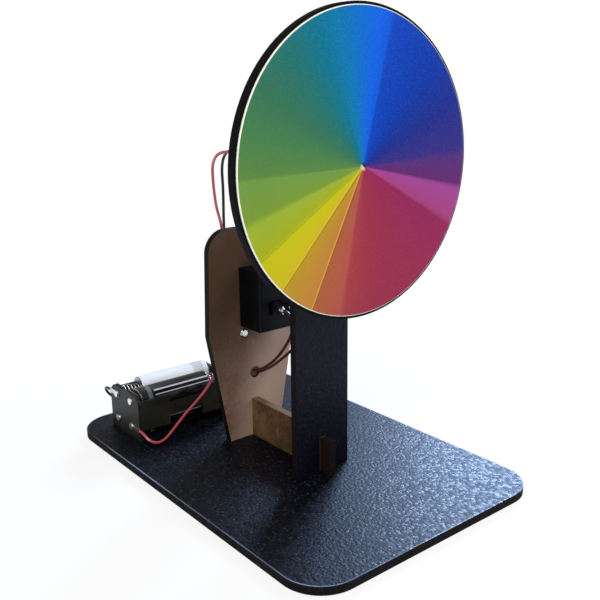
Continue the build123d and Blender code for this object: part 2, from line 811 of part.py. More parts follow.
with BuildPart() as cable_clip:
    with BuildSketch(Plane.XY.offset(clip_height - clip_width / 2)):
        with Locations((clip_loop_x, clip_axis_y)):
            Circle(clip_outer)
        clip_end_x = clip_screw_x + clip_width / 2
        with Locations(((clip_loop_x + clip_end_x) / 2, back_rear_y + clip_band / 2)):
            Rectangle(clip_end_x - clip_loop_x, clip_band)
        with Locations((clip_loop_x, clip_axis_y)):
            Circle(clip_bore / 2, mode=Mode.SUBTRACT)
    extrude(amount=clip_width)
    with BuildSketch(facing_front(back_rear_y, clip_height)):
        with Locations((clip_screw_x, 0)):
            Circle(screw_hole_radius)
    extrude(amount=-clip_band, mode=Mode.SUBTRACT)
save(cable_clip, "cable_clip")

with BuildPart() as clip_screw:
    with BuildSketch(facing_front(back_front_y, clip_height, clip_screw_x)):
        Circle(screw_head_diameter / 2)
    extrude(amount=screw_head_height)
    fillet(clip_screw.faces().sort_by(Axis.Y)[0].edges(), screw_head_height / 2)
    with BuildSketch(facing_front(back_front_y, clip_height, clip_screw_x)):
        Circle(screw_diameter / 2)
    extrude(amount=-(board_thickness + clip_band + clip_nut_thickness + thread_clearance))
save(clip_screw, "clip_screw")

with BuildPart() as clip_nut:
    nut_front_y = back_rear_y + clip_band
    with BuildSketch(facing_front(nut_front_y, clip_height, clip_screw_x)):
        RegularPolygon(clip_nut_diameter / 2, 6, major_radius=False)
        Circle(thread_hole_radius, mode=Mode.SUBTRACT)
    extrude(amount=-clip_nut_thickness)
save(clip_nut, "clip_nut")

motor_splice_x = clip_loop_x - lead_spacing / 2
motor_splice_y = clip_axis_y
supply_splice_x = lead_hole_x + lead_spacing / 2

with BuildPart() as splice_sleeves:
    with BuildSketch(Plane.XY.offset(motor_splice_top)):
        with Locations((motor_splice_x, motor_splice_y)):
            Circle(sleeve_diameter / 2)
    extrude(amount=-sleeve_length)
    with BuildSketch(Plane.XY.offset(ground_splice_top)):
        with Locations((ground_splice_x, ground_splice_y)):
            Circle(sleeve_diameter / 2)
    extrude(amount=-sleeve_length)
    with BuildSketch(facing_front(supply_splice_front, supply_splice_z, supply_splice_x)):
        Circle(sleeve_diameter / 2)
    extrude(amount=-sleeve_length)
save(splice_sleeves, "splice_sleeves")

# --------------------------------------------------------------------------
# Leads: limp stranded wire, each along a hand-laid route
# --------------------------------------------------------------------------


def bend_radii(points):
    """Largest arc that fits the two runs at each inner point of a route."""
    vectors = [Vector(*b) - Vector(*a) for a, b in zip(points, points[1:])]
    radii = []
    for before, after in zip(vectors, vectors[1:]):
        half_turn = math.radians(before.get_angle(after)) / 2
        radii.append(0.45 * min(before.length, after.length) / math.tan(half_turn))
    return radii


def lead(name, points):
    """Round lead: straight runs joined by tangent arcs."""
    radii = bend_radii(points)
    with BuildPart() as wire:
        with BuildLine() as route:
            FilletPolyline(*points, radius=radii)
        with BuildSketch(Plane(origin=route.line @ 0, z_dir=route.line % 0)):
            Circle(lead_diameter / 2)
        sweep()
    length = route.wires()[0].length
    ideal = math.pi * (lead_diameter / 2) ** 2 * length
    print(
        f"{name}: {length:.1f} mm, radii {min(radii):.1f} to {max(radii):.1f} mm, "
        f"volume / (section x length) {wire.part.volume / ideal:.4f}"
    )
    save(wire, name)


motor_tab_y = cap_rear_y + motor_tab_length
left_blade_x = blade_centre_x - blade_spacing / 2
right_blade_x = blade_centre_x + blade_spacing / 2
lug_middle_x = holder_left_x - lug_thickness / 2

lead(
    "motor_lead_red",
    [
        (-motor_tab_spacing / 2, motor_tab_y, axis_height),
        (-motor_tab_spacing / 2, 36.4, axis_height),
        (-7.0, 42.4, 178.0),
        (-11.8, 46.2, 176.4),
        (-15.2, 46.0, 170.4),
        (-15.9, 44.8, 162.0),
        (-16.0, 43.7, 153.6),
        (-15.3, 43.0, 145.6),
        (-13.4, 42.2, 138.0),
        (-12.4, 42.0, 129.0),
        (-14.6, 41.8, 120.0),
        (-18.8, 41.6, 111.5),
        (-22.0, 41.3, 102.0),
        (-21.4, 40.5, 91.5),
        (-17.2, 39.9, 81.0),
        (motor_splice_x, motor_splice_y, clip_height - clip_width / 2),
        (motor_splice_x, motor_splice_y, motor_splice_top),
    ],
)

lead(
    "motor_lead_black",
    [
        (motor_tab_spacing / 2, motor_tab_y, axis_height),
        (motor_tab_spacing / 2, 36.4, axis_height),
        (4.6, 42.8, 177.6),
        (0.6, 47.6, 178.8),
        (-4.6, 49.4, 175.6),
        (-7.0, 48.8, 168.0),
        (-7.2, 47.8, 158.5),
        (-7.8, 47.0, 149.0),
        (-8.6, 46.2, 140.0),
        (-9.0, 45.6, 131.5),
        (-10.8, 45.3, 122.5),
        (-14.6, 45.0, 113.5),
        (-17.8, 44.4, 103.5),
        (-17.6, 42.9, 92.5),
        (-14.2, 40.6, 82.0),
        (-13.4, 39.9, 71.0),
        (ground_splice_x, ground_splice_y, 59.0),
        (ground_splice_x, ground_splice_y, ground_splice_top),
    ],
)

lead(
    "switch_lead_motor",
    [
        (left_blade_x, blade_tip_y, blade_height),
        (left_blade_x, -2.2, blade_height),
        (0.6, -6.4, 84.0),
        (0.6, -4.6, 77.0),
        (2.2, 1.2, 70.6),
        (4.0, 8.4, 63.6),
        (4.6, 15.4, 56.8),
        (3.6, 21.6, 51.4),
        (1.4, 27.0, 47.6),
        (-0.8, 34.0, 45.7),
        (-1.2, 40.4, 44.8),
        (-2.6, 46.6, 42.4),
        (-5.2, 51.0, 38.2),
        (-8.6, 52.8, 32.8),
        (-11.0, 52.0, 27.5),
        (-12.8, 48.6, 23.4),
        (-14.4, 43.6, 23.4),
        (-15.9, 40.2, 27.4),
        (motor_splice_x, motor_splice_y, 34.0),
        (motor_splice_x, motor_splice_y, motor_splice_top - sleeve_length),
    ],
)

lead(
    "switch_lead_supply",
    [
        (right_blade_x, blade_tip_y, blade_height),
        (right_blade_x, -2.3, blade_height),
        (8.2, -6.8, 84.6),
        (7.4, -6.0, 78.4),
        (9.0, -1.0, 71.4),
        (11.0, 5.8, 65.0),
        (11.2, 12.8, 58.8),
        (9.2, 18.8, 53.2),
        (5.8, 24.8, 47.6),
        (supply_splice_x, 33.6, supply_splice_z),
        (supply_splice_x, supply_splice_front, supply_splice_z),
    ],
)

lead(
    "battery_lead_red",
    [
        (supply_splice_x, supply_splice_front + sleeve_length, supply_splice_z),
        (supply_splice_x, 62.3, supply_splice_z),
        (-2.2, 67.0, 40.2),
        (-8.2, 66.0, 34.0),
        (-14.6, 63.8, 28.2),
        (-23.2, 62.4, 22.6),
        (-32.4, 61.4, 17.0),
        (-41.6, 59.2, 11.2),
        (-50.1, 56.0, 6.9),
        (-56.7, 55.1, 6.3),
        (-61.1, 57.7, 8.9),
        (lug_middle_x, 61.9, lower_cell_z),
        (lug_middle_x, front_tail_y, lower_cell_z),
    ],
)

lead(
    "battery_lead_black",
    [
        (ground_splice_x, ground_splice_y, ground_splice_top - sleeve_length),
        (ground_splice_x, ground_splice_y, 26.0),
        (-9.8, 44.6, 19.5),
        (-7.4, 50.6, 15.8),
        (-1.0, 57.0, 13.6),
        (7.0, 61.8, 12.4),
        (13.6, 68.4, 11.2),
        (17.2, 77.2, 9.8),
        (18.0, 87.0, 8.6),
        (16.8, 96.6, 7.6),
        (11.8, 104.4, 6.9),
        (3.0, 108.6, 6.5),
        (-9.0, 109.4, 6.4),
        (-24.0, 109.8, 6.6),
        (-38.0, 110.8, 8.4),
        (-49.0, 113.0, 13.0),
        (-56.2, 114.6, 18.8),
        (-60.4, 113.6, 24.6),
        (lug_middle_x, 109.6, upper_cell_z),
        (lug_middle_x, rear_tail_y, upper_cell_z),
    ],
)
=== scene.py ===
"""A battery-driven colour-mixing disc on a slotted board stand, dressed for its picture.

The solids come packed from the part's source and stay as they are. Here they get their finishes,
the leads lie on smooth curves, and solder, shrunk sleeves and the studio are added.
"""

import logging
import math
from dataclasses import dataclass, field
from enum import Enum
from typing import Sequence

import bpy
import numpy as np
from mathutils import Matrix, Vector


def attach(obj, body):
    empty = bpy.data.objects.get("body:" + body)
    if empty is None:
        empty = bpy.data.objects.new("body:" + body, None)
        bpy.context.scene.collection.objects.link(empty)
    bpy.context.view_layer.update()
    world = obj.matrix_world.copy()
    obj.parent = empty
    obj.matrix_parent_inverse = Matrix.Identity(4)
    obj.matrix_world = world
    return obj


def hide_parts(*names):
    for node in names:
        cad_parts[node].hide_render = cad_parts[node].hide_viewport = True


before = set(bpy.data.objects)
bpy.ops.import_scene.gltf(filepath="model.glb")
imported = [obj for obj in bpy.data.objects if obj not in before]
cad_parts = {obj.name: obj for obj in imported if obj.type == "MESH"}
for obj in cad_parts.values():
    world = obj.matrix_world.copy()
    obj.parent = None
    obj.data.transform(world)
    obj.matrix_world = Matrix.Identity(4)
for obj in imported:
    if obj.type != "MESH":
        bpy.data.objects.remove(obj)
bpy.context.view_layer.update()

log = logging.getLogger("colour_disc")

Rgb = tuple[float, float, float]
Point = tuple[float, float, float]

# How squarely a surface has to look along an axis to count as a face there, and not as a cut side.
FACE_FROM, FACE_FULL = 0.6, 0.8


def srgb(red: int, green: int, blue: int) -> Rgb:
    """Turns a colour as a screen shows it into linear light.

    Args:
        red: The red part, 0 to 255.
        green: The green part, 0 to 255.
        blue: The blue part, 0 to 255.

    Returns:
        The three linear parts, 0 to 1.
    """
    parts = np.array([red, green, blue]) / 255
    linear = np.where(parts <= 0.04045, parts / 12.92, ((parts + 0.055) / 1.055) ** 2.4)
    return tuple(float(part) for part in linear)


class Body(Enum):
    """The bodies that the scene's own pieces ride on, by the names in the record."""

    STAND = "stand"
    ROTOR = "rotor"


class Sock:
    """A node's output, on which Python's operators add Math nodes."""

    def __init__(self, graph: "Graph", socket: bpy.types.NodeSocket) -> None:
        """Keeps the output and the graph it belongs to."""
        self.graph = graph
        self.socket = socket

    def _math(self, operation: str, *values: "Sock | float") -> "Sock":
        """Adds one Math node.

        Args:
            operation: The node's operation.
            values: Its inputs in order.

        Returns:
            The node's output.
        """
        return self.graph.node("ShaderNodeMath", {"operation": operation}, dict(enumerate(values)))

    def __add__(self, other: "Sock | float") -> "Sock":
        """The sum."""
        return self._math("ADD", self, other)

    def __radd__(self, other: float) -> "Sock":
        """The sum, with the number first."""
        return self._math("ADD", other, self)

    def __sub__(self, other: "Sock | float") -> "Sock":
        """The difference."""
        return self._math("SUBTRACT", self, other)

    def __rsub__(self, other: float) -> "Sock":
        """The difference, with the number first."""
        return self._math("SUBTRACT", other, self)

    def __mul__(self, other: "Sock | float") -> "Sock":
        """The product."""
        return self._math("MULTIPLY", self, other)

    def __rmul__(self, other: float) -> "Sock":
        """The product, with the number first."""
        return self._math("MULTIPLY", other, self)

    def __truediv__(self, other: "Sock | float") -> "Sock":
        """The quotient."""
        return self._math("DIVIDE", self, other)

    def __abs__(self) -> "Sock":
        """The size without its sign."""
        return self._math("ABSOLUTE", self)

    def root(self) -> "Sock":
        """The square root."""
        return self._math("SQRT", self)

    def angle(self, across: "Sock") -> "Sock":
        """The angle whose tangent is this over across, from minus pi to pi."""
        return self._math("ARCTAN2", self, across)

    def fraction(self) -> "Sock":
        """What is left above the whole number."""
        return self._math("FRACT", self)

    def least(self, other: "Sock | float") -> "Sock":
        """The smaller of the two."""
        return self._math("MINIMUM", self, other)

    def most(self, other: "Sock | float") -> "Sock":
        """The larger of the two."""
        return self._math("MAXIMUM", self, other)

    def clamp(self) -> "Sock":
        """This, kept from nought to one."""
        return self.least(1.0).most(0.0)

    def step(self, low: float, high: float) -> "Sock":
        """A straight rise from nought at low to one at high, level outside.

        Args:
            low: Where the rise starts.
            high: Where it ends, which may be below low for a fall.

        Returns:
            The rise.
        """
        return ((self - low) / (high - low)).clamp()


class Graph:
    """One material's node tree, with a Principled surface at its end."""

    def __init__(self, name: str) -> None:
        """Makes the empty material."""
        self.material = bpy.data.materials.new(name)
        self.material.use_nodes = True
        self.tree = self.material.node_tree
        self.surface = self.tree.nodes["Principled BSDF"]

    def node(
        self,
        kind: str,
        settings: dict[str, object] | None = None,
        inputs: dict[int | str, object] | None = None,
        output: int | str = 0,
    ) -> Sock:
        """Adds any node.

        Args:
            kind: The node's type.
            settings: Its own settings, set first; a ramp's stops come as "stops".
            inputs: Values or outputs for its inputs, by index or name.
            output: Which of its outputs to hand back.

        Returns:
            That output.
        """
        made = self.tree.nodes.new(kind)
        for key, value in (settings or {}).items():
            if key == "stops":
                self._set_stops(made.color_ramp, value)
            else:
                setattr(made, key, value)
        for key, value in (inputs or {}).items():
            self.feed(made.inputs[key], value)
        return Sock(self, made.outputs[output])

    @staticmethod
    def _set_stops(ramp: bpy.types.ColorRamp, stops: Sequence[tuple[float, Rgb]]) -> None:
        """Gives a ramp its stops.

        Args:
            ramp: The ramp, as a new node has it.
            stops: Places and colours, in rising order.
        """
        while len(ramp.elements) > 1:
            ramp.elements.remove(ramp.elements[-1])
        ramp.elements[0].position = stops[0][0]
        ramp.elements[0].color = (*stops[0][1], 1)
        for position, colour in stops[1:]:
            ramp.elements.new(position).color = (*colour, 1)

    def feed(self, socket: bpy.types.NodeSocket, value: object) -> None:
        """Links an output to an input, or sets the input's own value.

        Args:
            socket: The input.
            value: An output, a number, a colour or a vector.
        """
        if isinstance(value, Sock):
            self.tree.links.new(value.socket, socket)
        elif socket.type == "RGBA" and len(value) == 3:
            socket.default_value = (*value, 1)
        else:
            socket.default_value = value

    def set(self, **sockets: object) -> None:
        """Feeds inputs of the surface.

        Args:
            sockets: Their names, with _ for each space, and what each is fed.
        """
        for name, value in sockets.items():
            self.feed(self.surface.inputs[name.replace("_", " ")], value)

    def place(self) -> Sock:
        """The point on the object, in metres."""
        return self.node("ShaderNodeTexCoord", output="Object")

    def facing(self) -> tuple[Sock, Sock, Sock]:
        """The three parts of the surface's direction, on the object's own axes."""
        return self.split(self.node("ShaderNodeTexCoord", output="Normal"))

    def split(self, vector: Sock) -> tuple[Sock, Sock, Sock]:
        """The three parts of a vector."""
        parts = self.node("ShaderNodeSeparateXYZ", inputs={0: vector}).socket.node.outputs
        return Sock(self, parts[0]), Sock(self, parts[1]), Sock(self, parts[2])

    def mapped(self, stretch: Point, turn: Point = (0, 0, 0)) -> Sock:
        """The point on the object, stretched and then turned.

        Args:
            stretch: The factor along each axis.
            turn: The turn about each axis, in degrees.

        Returns:
            The new point.
        """
        angles = tuple(math.radians(part) for part in turn)
        return self.node("ShaderNodeMapping", inputs={
            "Vector": self.place(), "Rotation": angles, "Scale": stretch})

    def noise(self, scale: float, detail: float, rough: float, at: Sock | None = None) -> Sock:
        """Cloudy noise from nought to one.

        Args:
            scale: Clouds in a metre.
            detail: How many finer layers there are.
            rough: How strong the finer layers are.
            at: Where it is read, or None for the point on the object.

        Returns:
            The noise.
        """
        return self.node("ShaderNodeTexNoise", inputs={
            "Vector": at or self.place(), "Scale": scale, "Detail": detail, "Roughness": rough})

    def cells(self, scale: float, output: str = "Distance") -> Sock:
        """Cells round scattered points.

        Args:
            scale: Cells in a metre.
            output: Which output is handed back.

        Returns:
            That output.
        """
        return self.node("ShaderNodeTexVoronoi", inputs={
            "Vector": self.place(), "Scale": scale}, output=output)

    def blend(self, share: Sock | float, first: object, second: object) -> Sock:
        """Mixes two colours.

        Args:
            share: How much of the second there is.
            first: The first colour.
            second: The second colour.

        Returns:
            The mixed colour.
        """
        factor, low, high, result = 0, 6, 7, 2
        return self.node("ShaderNodeMix", {"data_type": "RGBA"}, {
            factor: share, low: first, high: second}, result)

    def ramp(self, value: Sock, stops: Sequence[tuple[float, Rgb]]) -> Sock:
        """A colour read along a value.

        Args:
            value: Where it is read, nought to one.
            stops: Places and colours, in rising order.

        Returns:
            The colour.
        """
        return self.node("ShaderNodeValToRGB", {"stops": stops}, {0: value})

    def bump(self, height: Sock, depth: float, strength: float) -> Sock:
        """Turns a height into a surface direction.

        Args:
            height: The height, nought to one.
            depth: What one stands for, in metres.
            strength: How much of it is used.

        Returns:
            The direction.
        """
        return self.node("ShaderNodeBump", inputs={
            "Height": height, "Distance": depth, "Strength": strength})


@dataclass(frozen=True)
class Finish:
    """What every finish has: its material's name and a way to paint it."""

    name: str

    def material(self) -> bpy.types.Material:
        """Builds the material.

        Returns:
            The finished material.
        """
        graph = Graph(self.name)
        self.paint(graph)
        return graph.material

    def paint(self, graph: Graph) -> None:
        """Fills the graph; each finish has its own way.

        Args:
            graph: The empty graph.
        """
        raise NotImplementedError


@dataclass(frozen=True)
class GrainedFilm(Finish):
    """Black pebbled film on a board, with bare charred edges round it.

    The pebbles are cells whose edges dip, and the light catches some of them as pale specks.
    A rim, where there is one, is half the plate's width, half its depth and its corners' radius.
    A pale line just inside it is a painted highlight along the edge.
    """

    axis: int = 2
    dark: Rgb = srgb(7, 9, 16)
    speck: Rgb = srgb(120, 134, 168)
    edge: Rgb = srgb(10, 8, 9)
    pebbles: float = 620.0
    speck_share: float = 0.3
    fibre_tone: Rgb = srgb(26, 20, 20)
    rub_tone: Rgb = srgb(48, 54, 68)
    rub_share: float = 0.08
    # The pale tone of the painted highlight just inside the rim, and how strongly it shows.
    edge_highlight_tone: Rgb = srgb(150, 160, 188)
    edge_highlight_share: float = 0.8
    edge_highlight_band: tuple[float, float] = (-0.0009, -0.0004)
    relief: float = 0.0002
    relief_share: float = 0.6
    rim: tuple[float, float, float] | None = None

    def paint(self, graph: Graph) -> None:
        """Lays pebbles on the faces along the axis and fibre on the sides.

        Args:
            graph: The empty graph.
        """
        face = abs(graph.facing()[self.axis]).step(FACE_FROM, FACE_FULL)
        pebble = graph.cells(self.pebbles)
        fine = graph.noise(2600, 3, 0.6)
        drift = graph.noise(14, 3, 0.55)
        tone = graph.cells(self.pebbles, output="Color")
        speckled, polished, _ = graph.split(tone)
        lit = speckled.step(0.62, 1.0) * pebble.step(0.45, 0.05)
        lit = (lit * (0.5 + drift)) * self.speck_share
        film = graph.blend(lit.clamp(), self.dark, self.speck)
        fibre = graph.noise(1800, 4, 0.7, graph.mapped((1, 1, 3)))
        side = graph.blend(fibre.step(0.45, 0.8), self.edge, self.fibre_tone)
        rub = graph.noise(60, 5, 0.7).step(0.62, 0.72)
        film = graph.blend(rub * self.rub_share, film, self.rub_tone)
        if self.rim is not None:
            # Painted highlight: a pale line just inside the rim, where the edge would catch the
            # light.
            edge_highlight = self._edge_highlight_line(graph) * drift.step(0.3, 0.6) * self.edge_highlight_share
            film = graph.blend(edge_highlight, film, self.edge_highlight_tone)
        height = pebble * -1.0 + fine * 0.3
        polish = polished.step(0.3, 1.0)
        graph.set(
            Base_Color=graph.blend(face, side, film),
            Roughness=(0.86 - 0.36 * face) + 0.08 * (fine - 0.5) - 0.2 * polish,
            Specular_IOR_Level=0.13,
            Normal=graph.bump(height, self.relief, self.relief_share),
        )

    def _edge_highlight_line(self, graph: Graph) -> Sock:
        """Finds the last half millimetre inside a rounded plate's outline: the painted edge
        highlight.

        With the corners' centres at (a, b) and their radius r, the distance to the outline at
        (x, y) is the length of (max(|x| - a, 0), max(|y| - b, 0)) less r.

        Args:
            graph: The graph.

        Returns:
            One on the edge and nought inside it.
        """
        across, deep, radius = self.rim
        x, y, _ = graph.split(graph.place())
        over_x = (abs(x) - (across - radius)).most(0.0)
        over_y = (abs(y) - (deep - radius)).most(0.0)
        return ((over_x * over_x + over_y * over_y).root() - radius).step(*self.edge_highlight_band)


@dataclass(frozen=True)
class RawBoard(Finish):
    """Brown fibre board, cut by a beam: mottled faces, dark streaked edges.

    The faces are darker brown above a height, a painted shadow of the disc, and paler towards the
    lower right, as painted light. What lies in front of nose_from is charred all over, and top_bare
    is how far the upper edges are clean.
    """

    across: int = 1
    light: Rgb = srgb(147, 120, 108)
    brown: Rgb = srgb(118, 93, 79)
    deep: Rgb = srgb(72, 52, 34)
    # The pale tone laid on as painted light towards the lower right of the faces.
    bare: Rgb = srgb(232, 200, 178)
    burnt: Rgb = srgb(14, 10, 9)
    shade_height: float = 0.075
    painted_light_share: float = 0.65
    nose_from: float = -1.0
    nose_share: float = 0.92
    top_bare: float = 0.0
    hair_tone: Rgb = srgb(170, 144, 124)
    streak_tone: Rgb = srgb(44, 30, 24)
    relief: float = 0.00012
    relief_share: float = 0.6

    def paint(self, graph: Graph) -> None:
        """Mottles the faces, and streaks the cut sides through the board's thickness.

        Args:
            graph: The empty graph.
        """
        facing = graph.facing()
        face = abs(facing[self.across]).step(FACE_FROM, FACE_FULL)
        clouds = graph.noise(38, 5, 0.6)
        fibres = graph.noise(700, 5, 0.72)
        hairs = graph.noise(260, 3, 0.6, graph.mapped((1, 1, 0.25)))
        colour = graph.ramp(clouds * 0.6 + fibres * 0.4, [
            (0.30, self.deep), (0.48, self.brown), (0.66, self.light)])
        colour = graph.blend(hairs.step(0.6, 0.75) * 0.3, colour, self.hair_tone)
        x, y, height = graph.split(graph.place())
        # Painted shadow: darker brown higher up and further left, where the disc shades the board.
        painted_shadow = (height - x * 1.1 + clouds * 0.03).step(
            self.shade_height - 0.015, self.shade_height + 0.05)
        colour = graph.blend(painted_shadow * 0.85, colour, self.deep)
        # Painted light: the pale tone towards the lower right of the faces.
        pale = (x - height * 0.25).step(-0.024, 0.001) * (1 - painted_shadow)
        colour = graph.blend(pale * self.painted_light_share, colour, self.bare)
        nose = y.step(self.nose_from, self.nose_from - 0.0003)
        colour = graph.blend(nose * self.nose_share, colour, self.burnt)
        stretch = [1.0, 1.0, 1.0]
        stretch[self.across] = 0.08
        streaks = graph.noise(1500, 3, 0.6, graph.mapped(tuple(stretch)))
        cut = graph.blend(streaks.step(0.45, 0.8), self.burnt, self.streak_tone)
        top = facing[2].step(FACE_FROM, FACE_FULL) * (1 - nose)
        cut = graph.blend(top * self.top_bare, cut, self.light)
        graph.set(
            Base_Color=graph.blend(face, cut, colour),
            Roughness=0.72 + 0.2 * (fibres - 0.5),
            Specular_IOR_Level=0.12,
            Normal=graph.bump(fibres * 0.7 + hairs * 0.5, self.relief, self.relief_share),
        )


@dataclass(frozen=True)
class Crease:
    """A pressed line of the fan, where two sectors meet, shown by a painted highlight and shade:
    its angle and how strongly it shows.
    """

    angle: float
    share: float


@dataclass(frozen=True)
class FanPrint(Finish):
    """A matt printed card whose colours meet at the shaft, with a white paper edge.

    The angle round the shaft, over a full turn, reads a ramp. Two stops close together make a
    sharp edge.
    """

    centre: tuple[float, float] = (0.0, 0.176)
    paper: Rgb = srgb(255, 253, 238)
    # The pale and dark tones of each crease: its painted highlight and painted shade.
    crease_highlight: Rgb = srgb(232, 190, 70)
    crease_shade: Rgb = srgb(96, 44, 20)
    crease_strength: float = 0.6
    grime: Rgb = srgb(30, 30, 40)
    fibre: Rgb = srgb(220, 216, 205)
    # The pale and dark tones at the shaft: a painted highlight and a painted shadow of its hole.
    middle_painted_highlight: Rgb = srgb(250, 226, 190)
    middle_painted_shadow: Rgb = srgb(16, 30, 44)
    tones: tuple[tuple[float, Rgb], ...] = (
        (0.0, srgb(82, 47, 120)), (4.0, srgb(54, 43, 126)), (24.0, srgb(25, 43, 134)),
        (44.0, srgb(0, 53, 158)), (74.4, srgb(0, 67, 183)), (74.8, srgb(6, 86, 206)),
        (82.0, srgb(4, 96, 223)), (92.0, srgb(0, 107, 197)), (104.0, srgb(0, 118, 166)),
        (115.0, srgb(3, 113, 138)), (130.0, srgb(31, 113, 106)), (150.0, srgb(55, 115, 82)),
        (165.0, srgb(70, 126, 74)), (181.0, srgb(92, 134, 62)), (181.4, srgb(110, 151, 68)),
        (196.7, srgb(121, 152, 48)), (197.1, srgb(152, 175, 54)), (211.1, srgb(164, 172, 14)),
        (211.5, srgb(196, 192, 14)), (226.3, srgb(206, 182, 22)), (226.7, srgb(188, 148, 32)),
        (243.2, srgb(194, 126, 56)), (243.6, srgb(172, 94, 54)), (258.4, srgb(178, 84, 70)),
        (259.0, srgb(164, 62, 66)), (274.0, srgb(156, 47, 67)), (331.6, srgb(146, 34, 84)),
        (332.0, srgb(164, 61, 118)), (347.2, srgb(159, 68, 144)), (347.6, srgb(101, 37, 104)),
        (360.0, srgb(85, 46, 117)),
    )
    creases: tuple[Crease, ...] = (
        Crease(211.3, 0.3), Crease(226.5, 0.8), Crease(243.4, 0.9),
    )

    def _creased(self, graph: Graph, fan: Sock, right: Sock, up: Sock) -> Sock:
        """Draws each crease as a pale painted highlight with a dark painted shade beside it, along
        a ray from the shaft.

        Across the ray the place is x sin a - z cos a, and along it x cos a + z sin a, for the
        angle a.

        Args:
            graph: The graph.
            fan: The colour below the lines.
            right: The place to the right of the shaft, in metres.
            up: The place above it, in metres.

        Returns:
            The colour with its lines.
        """
        for crease in self.creases:
            turn = math.radians(crease.angle)
            across = right * math.sin(turn) - up * math.cos(turn)
            ahead = (right * math.cos(turn) + up * math.sin(turn)).step(0.001, 0.006)
            # Painted highlight on one side of each crease and painted shade on the other.
            pale = across.step(0.0, 0.0003) * across.step(0.0010, 0.0006) * ahead
            dark = across.step(0.0, -0.0002) * across.step(-0.0009, -0.0005) * ahead
            strength = self.crease_strength * crease.share
            fan = graph.blend(pale * strength, fan, self.crease_highlight)
            fan = graph.blend(dark * strength, fan, self.crease_shade)
        return fan

    def paint(self, graph: Graph) -> None:
        """Prints the fan on the front and leaves the paper white at the rim and behind.

        Args:
            graph: The empty graph.
        """
        x, _, z = graph.split(graph.place())
        front = (graph.facing()[1] * -1.0).step(0.93, 0.97)
        right, up = x - self.centre[0], z - self.centre[1]
        turn = (up.angle(right) / (2 * math.pi) + 1.0).fraction()
        fan = graph.ramp(turn, [(angle / 360, tone) for angle, tone in self.tones])
        fan = self._creased(graph, fan, right, up)
        reach = (right * right + up * up).root()
        tooth = graph.noise(1400, 3, 0.6)
        clouds = graph.noise(45, 4, 0.6)
        fan = graph.blend(clouds.step(0.5, 0.8) * 0.06, fan, self.grime)
        fan = graph.blend(tooth.step(0.5, 0.9) * 0.07, fan, self.fibre)
        # Painted highlight and painted shadow at the shaft: pale on its lower left, dark on its
        # upper right.
        below = (up + right * 0.9).step(0.0004, -0.0004)
        fan = graph.blend(reach.step(0.0024, 0.0008) * below * 0.8, fan, self.middle_painted_highlight)
        fan = graph.blend(reach.step(0.0024, 0.0012) * (1 - below) * 0.7, fan, self.middle_painted_shadow)
        graph.set(
            Base_Color=graph.blend(front, self.paper, fan),
            Roughness=0.5 + 0.12 * (tooth - 0.5),
            Specular_IOR_Level=0.06,
            Normal=graph.bump(tooth, 0.00003, 0.3),
        )


@dataclass(frozen=True)
class CharredBoard(Finish):
    """Black board whose cut rim is burnt and faintly brown in its pores."""

    char: Rgb = srgb(9, 8, 10)
    pore: Rgb = srgb(34, 24, 22)

    def paint(self, graph: Graph) -> None:
        """Streaks the rim through its thickness and leaves the faces even.

        Args:
            graph: The empty graph.
        """
        streaks = graph.noise(1300, 4, 0.65, graph.mapped((1, 0.1, 1)))
        pores = graph.noise(500, 4, 0.7)
        graph.set(
            Base_Color=graph.blend(streaks.step(0.5, 0.85), self.char, self.pore),
            Roughness=0.66 + 0.25 * (pores - 0.5),
            Specular_IOR_Level=0.08,
            Normal=graph.bump(streaks * 0.6 + pores * 0.4, 0.00012, 0.6),
        )


@dataclass(frozen=True)
class Metal(Finish):
    """Metal with fine tool or brush marks along one axis, and duller patches."""

    colour: Rgb = srgb(190, 190, 194)
    rough: float = 0.3
    marks: float = 900.0
    stretch: Point = (1.0, 1.0, 1.0)
    mark_depth: float = 0.00002
    stain: Rgb = srgb(120, 116, 112)
    stain_share: float = 0.3

    def paint(self, graph: Graph) -> None:
        """Draws the marks as stretched noise and the stains as clouds.

        Args:
            graph: The empty graph.
        """
        marks = graph.noise(self.marks, 3, 0.6, graph.mapped(self.stretch))
        clouds = graph.noise(120, 4, 0.6)
        colour = graph.blend(clouds.step(0.5, 0.75) * self.stain_share, self.colour, self.stain)
        colour = graph.blend(marks.step(0.55, 0.8) * 0.25, colour, self.stain)
        graph.set(
            Base_Color=colour,
            Metallic=1.0,
            Roughness=self.rough + 0.18 * (marks - 0.5) + 0.14 * (clouds - 0.5),
            Normal=graph.bump(marks, self.mark_depth, 0.7),
        )


@dataclass(frozen=True)
class Moulded(Finish):
    """Moulded plastic with a fine spark grain, dust in its lows and rubbed highs."""

    colour: Rgb = srgb(20, 20, 21)
    dust: Rgb = srgb(58, 56, 50)
    rough: float = 0.45
    grain: float = 2600.0
    depth: float = 0.00003
    dust_share: float = 0.35
    coat: float = 0.0
    shine: float = 0.3

    def paint(self, graph: Graph) -> None:
        """Grains the surface and clouds it with dust.

        Args:
            graph: The empty graph.
        """
        grain = graph.noise(self.grain, 3, 0.65)
        clouds = graph.noise(70, 5, 0.65)
        scuffs = graph.noise(220, 4, 0.7, graph.mapped((1, 0.12, 1), (0, 0, 35)))
        colour = graph.blend(clouds.step(0.42, 0.8) * self.dust_share, self.colour, self.dust)
        colour = graph.blend(scuffs.step(0.66, 0.74) * 0.2, colour, self.dust)
        graph.set(
            Base_Color=colour,
            Roughness=self.rough + 0.2 * (clouds - 0.5) + 0.1 * (grain - 0.5),
            Specular_IOR_Level=self.shine,
            Coat_Weight=self.coat,
            Coat_Roughness=0.08,
            Normal=graph.bump(grain, self.depth, 0.6),
        )


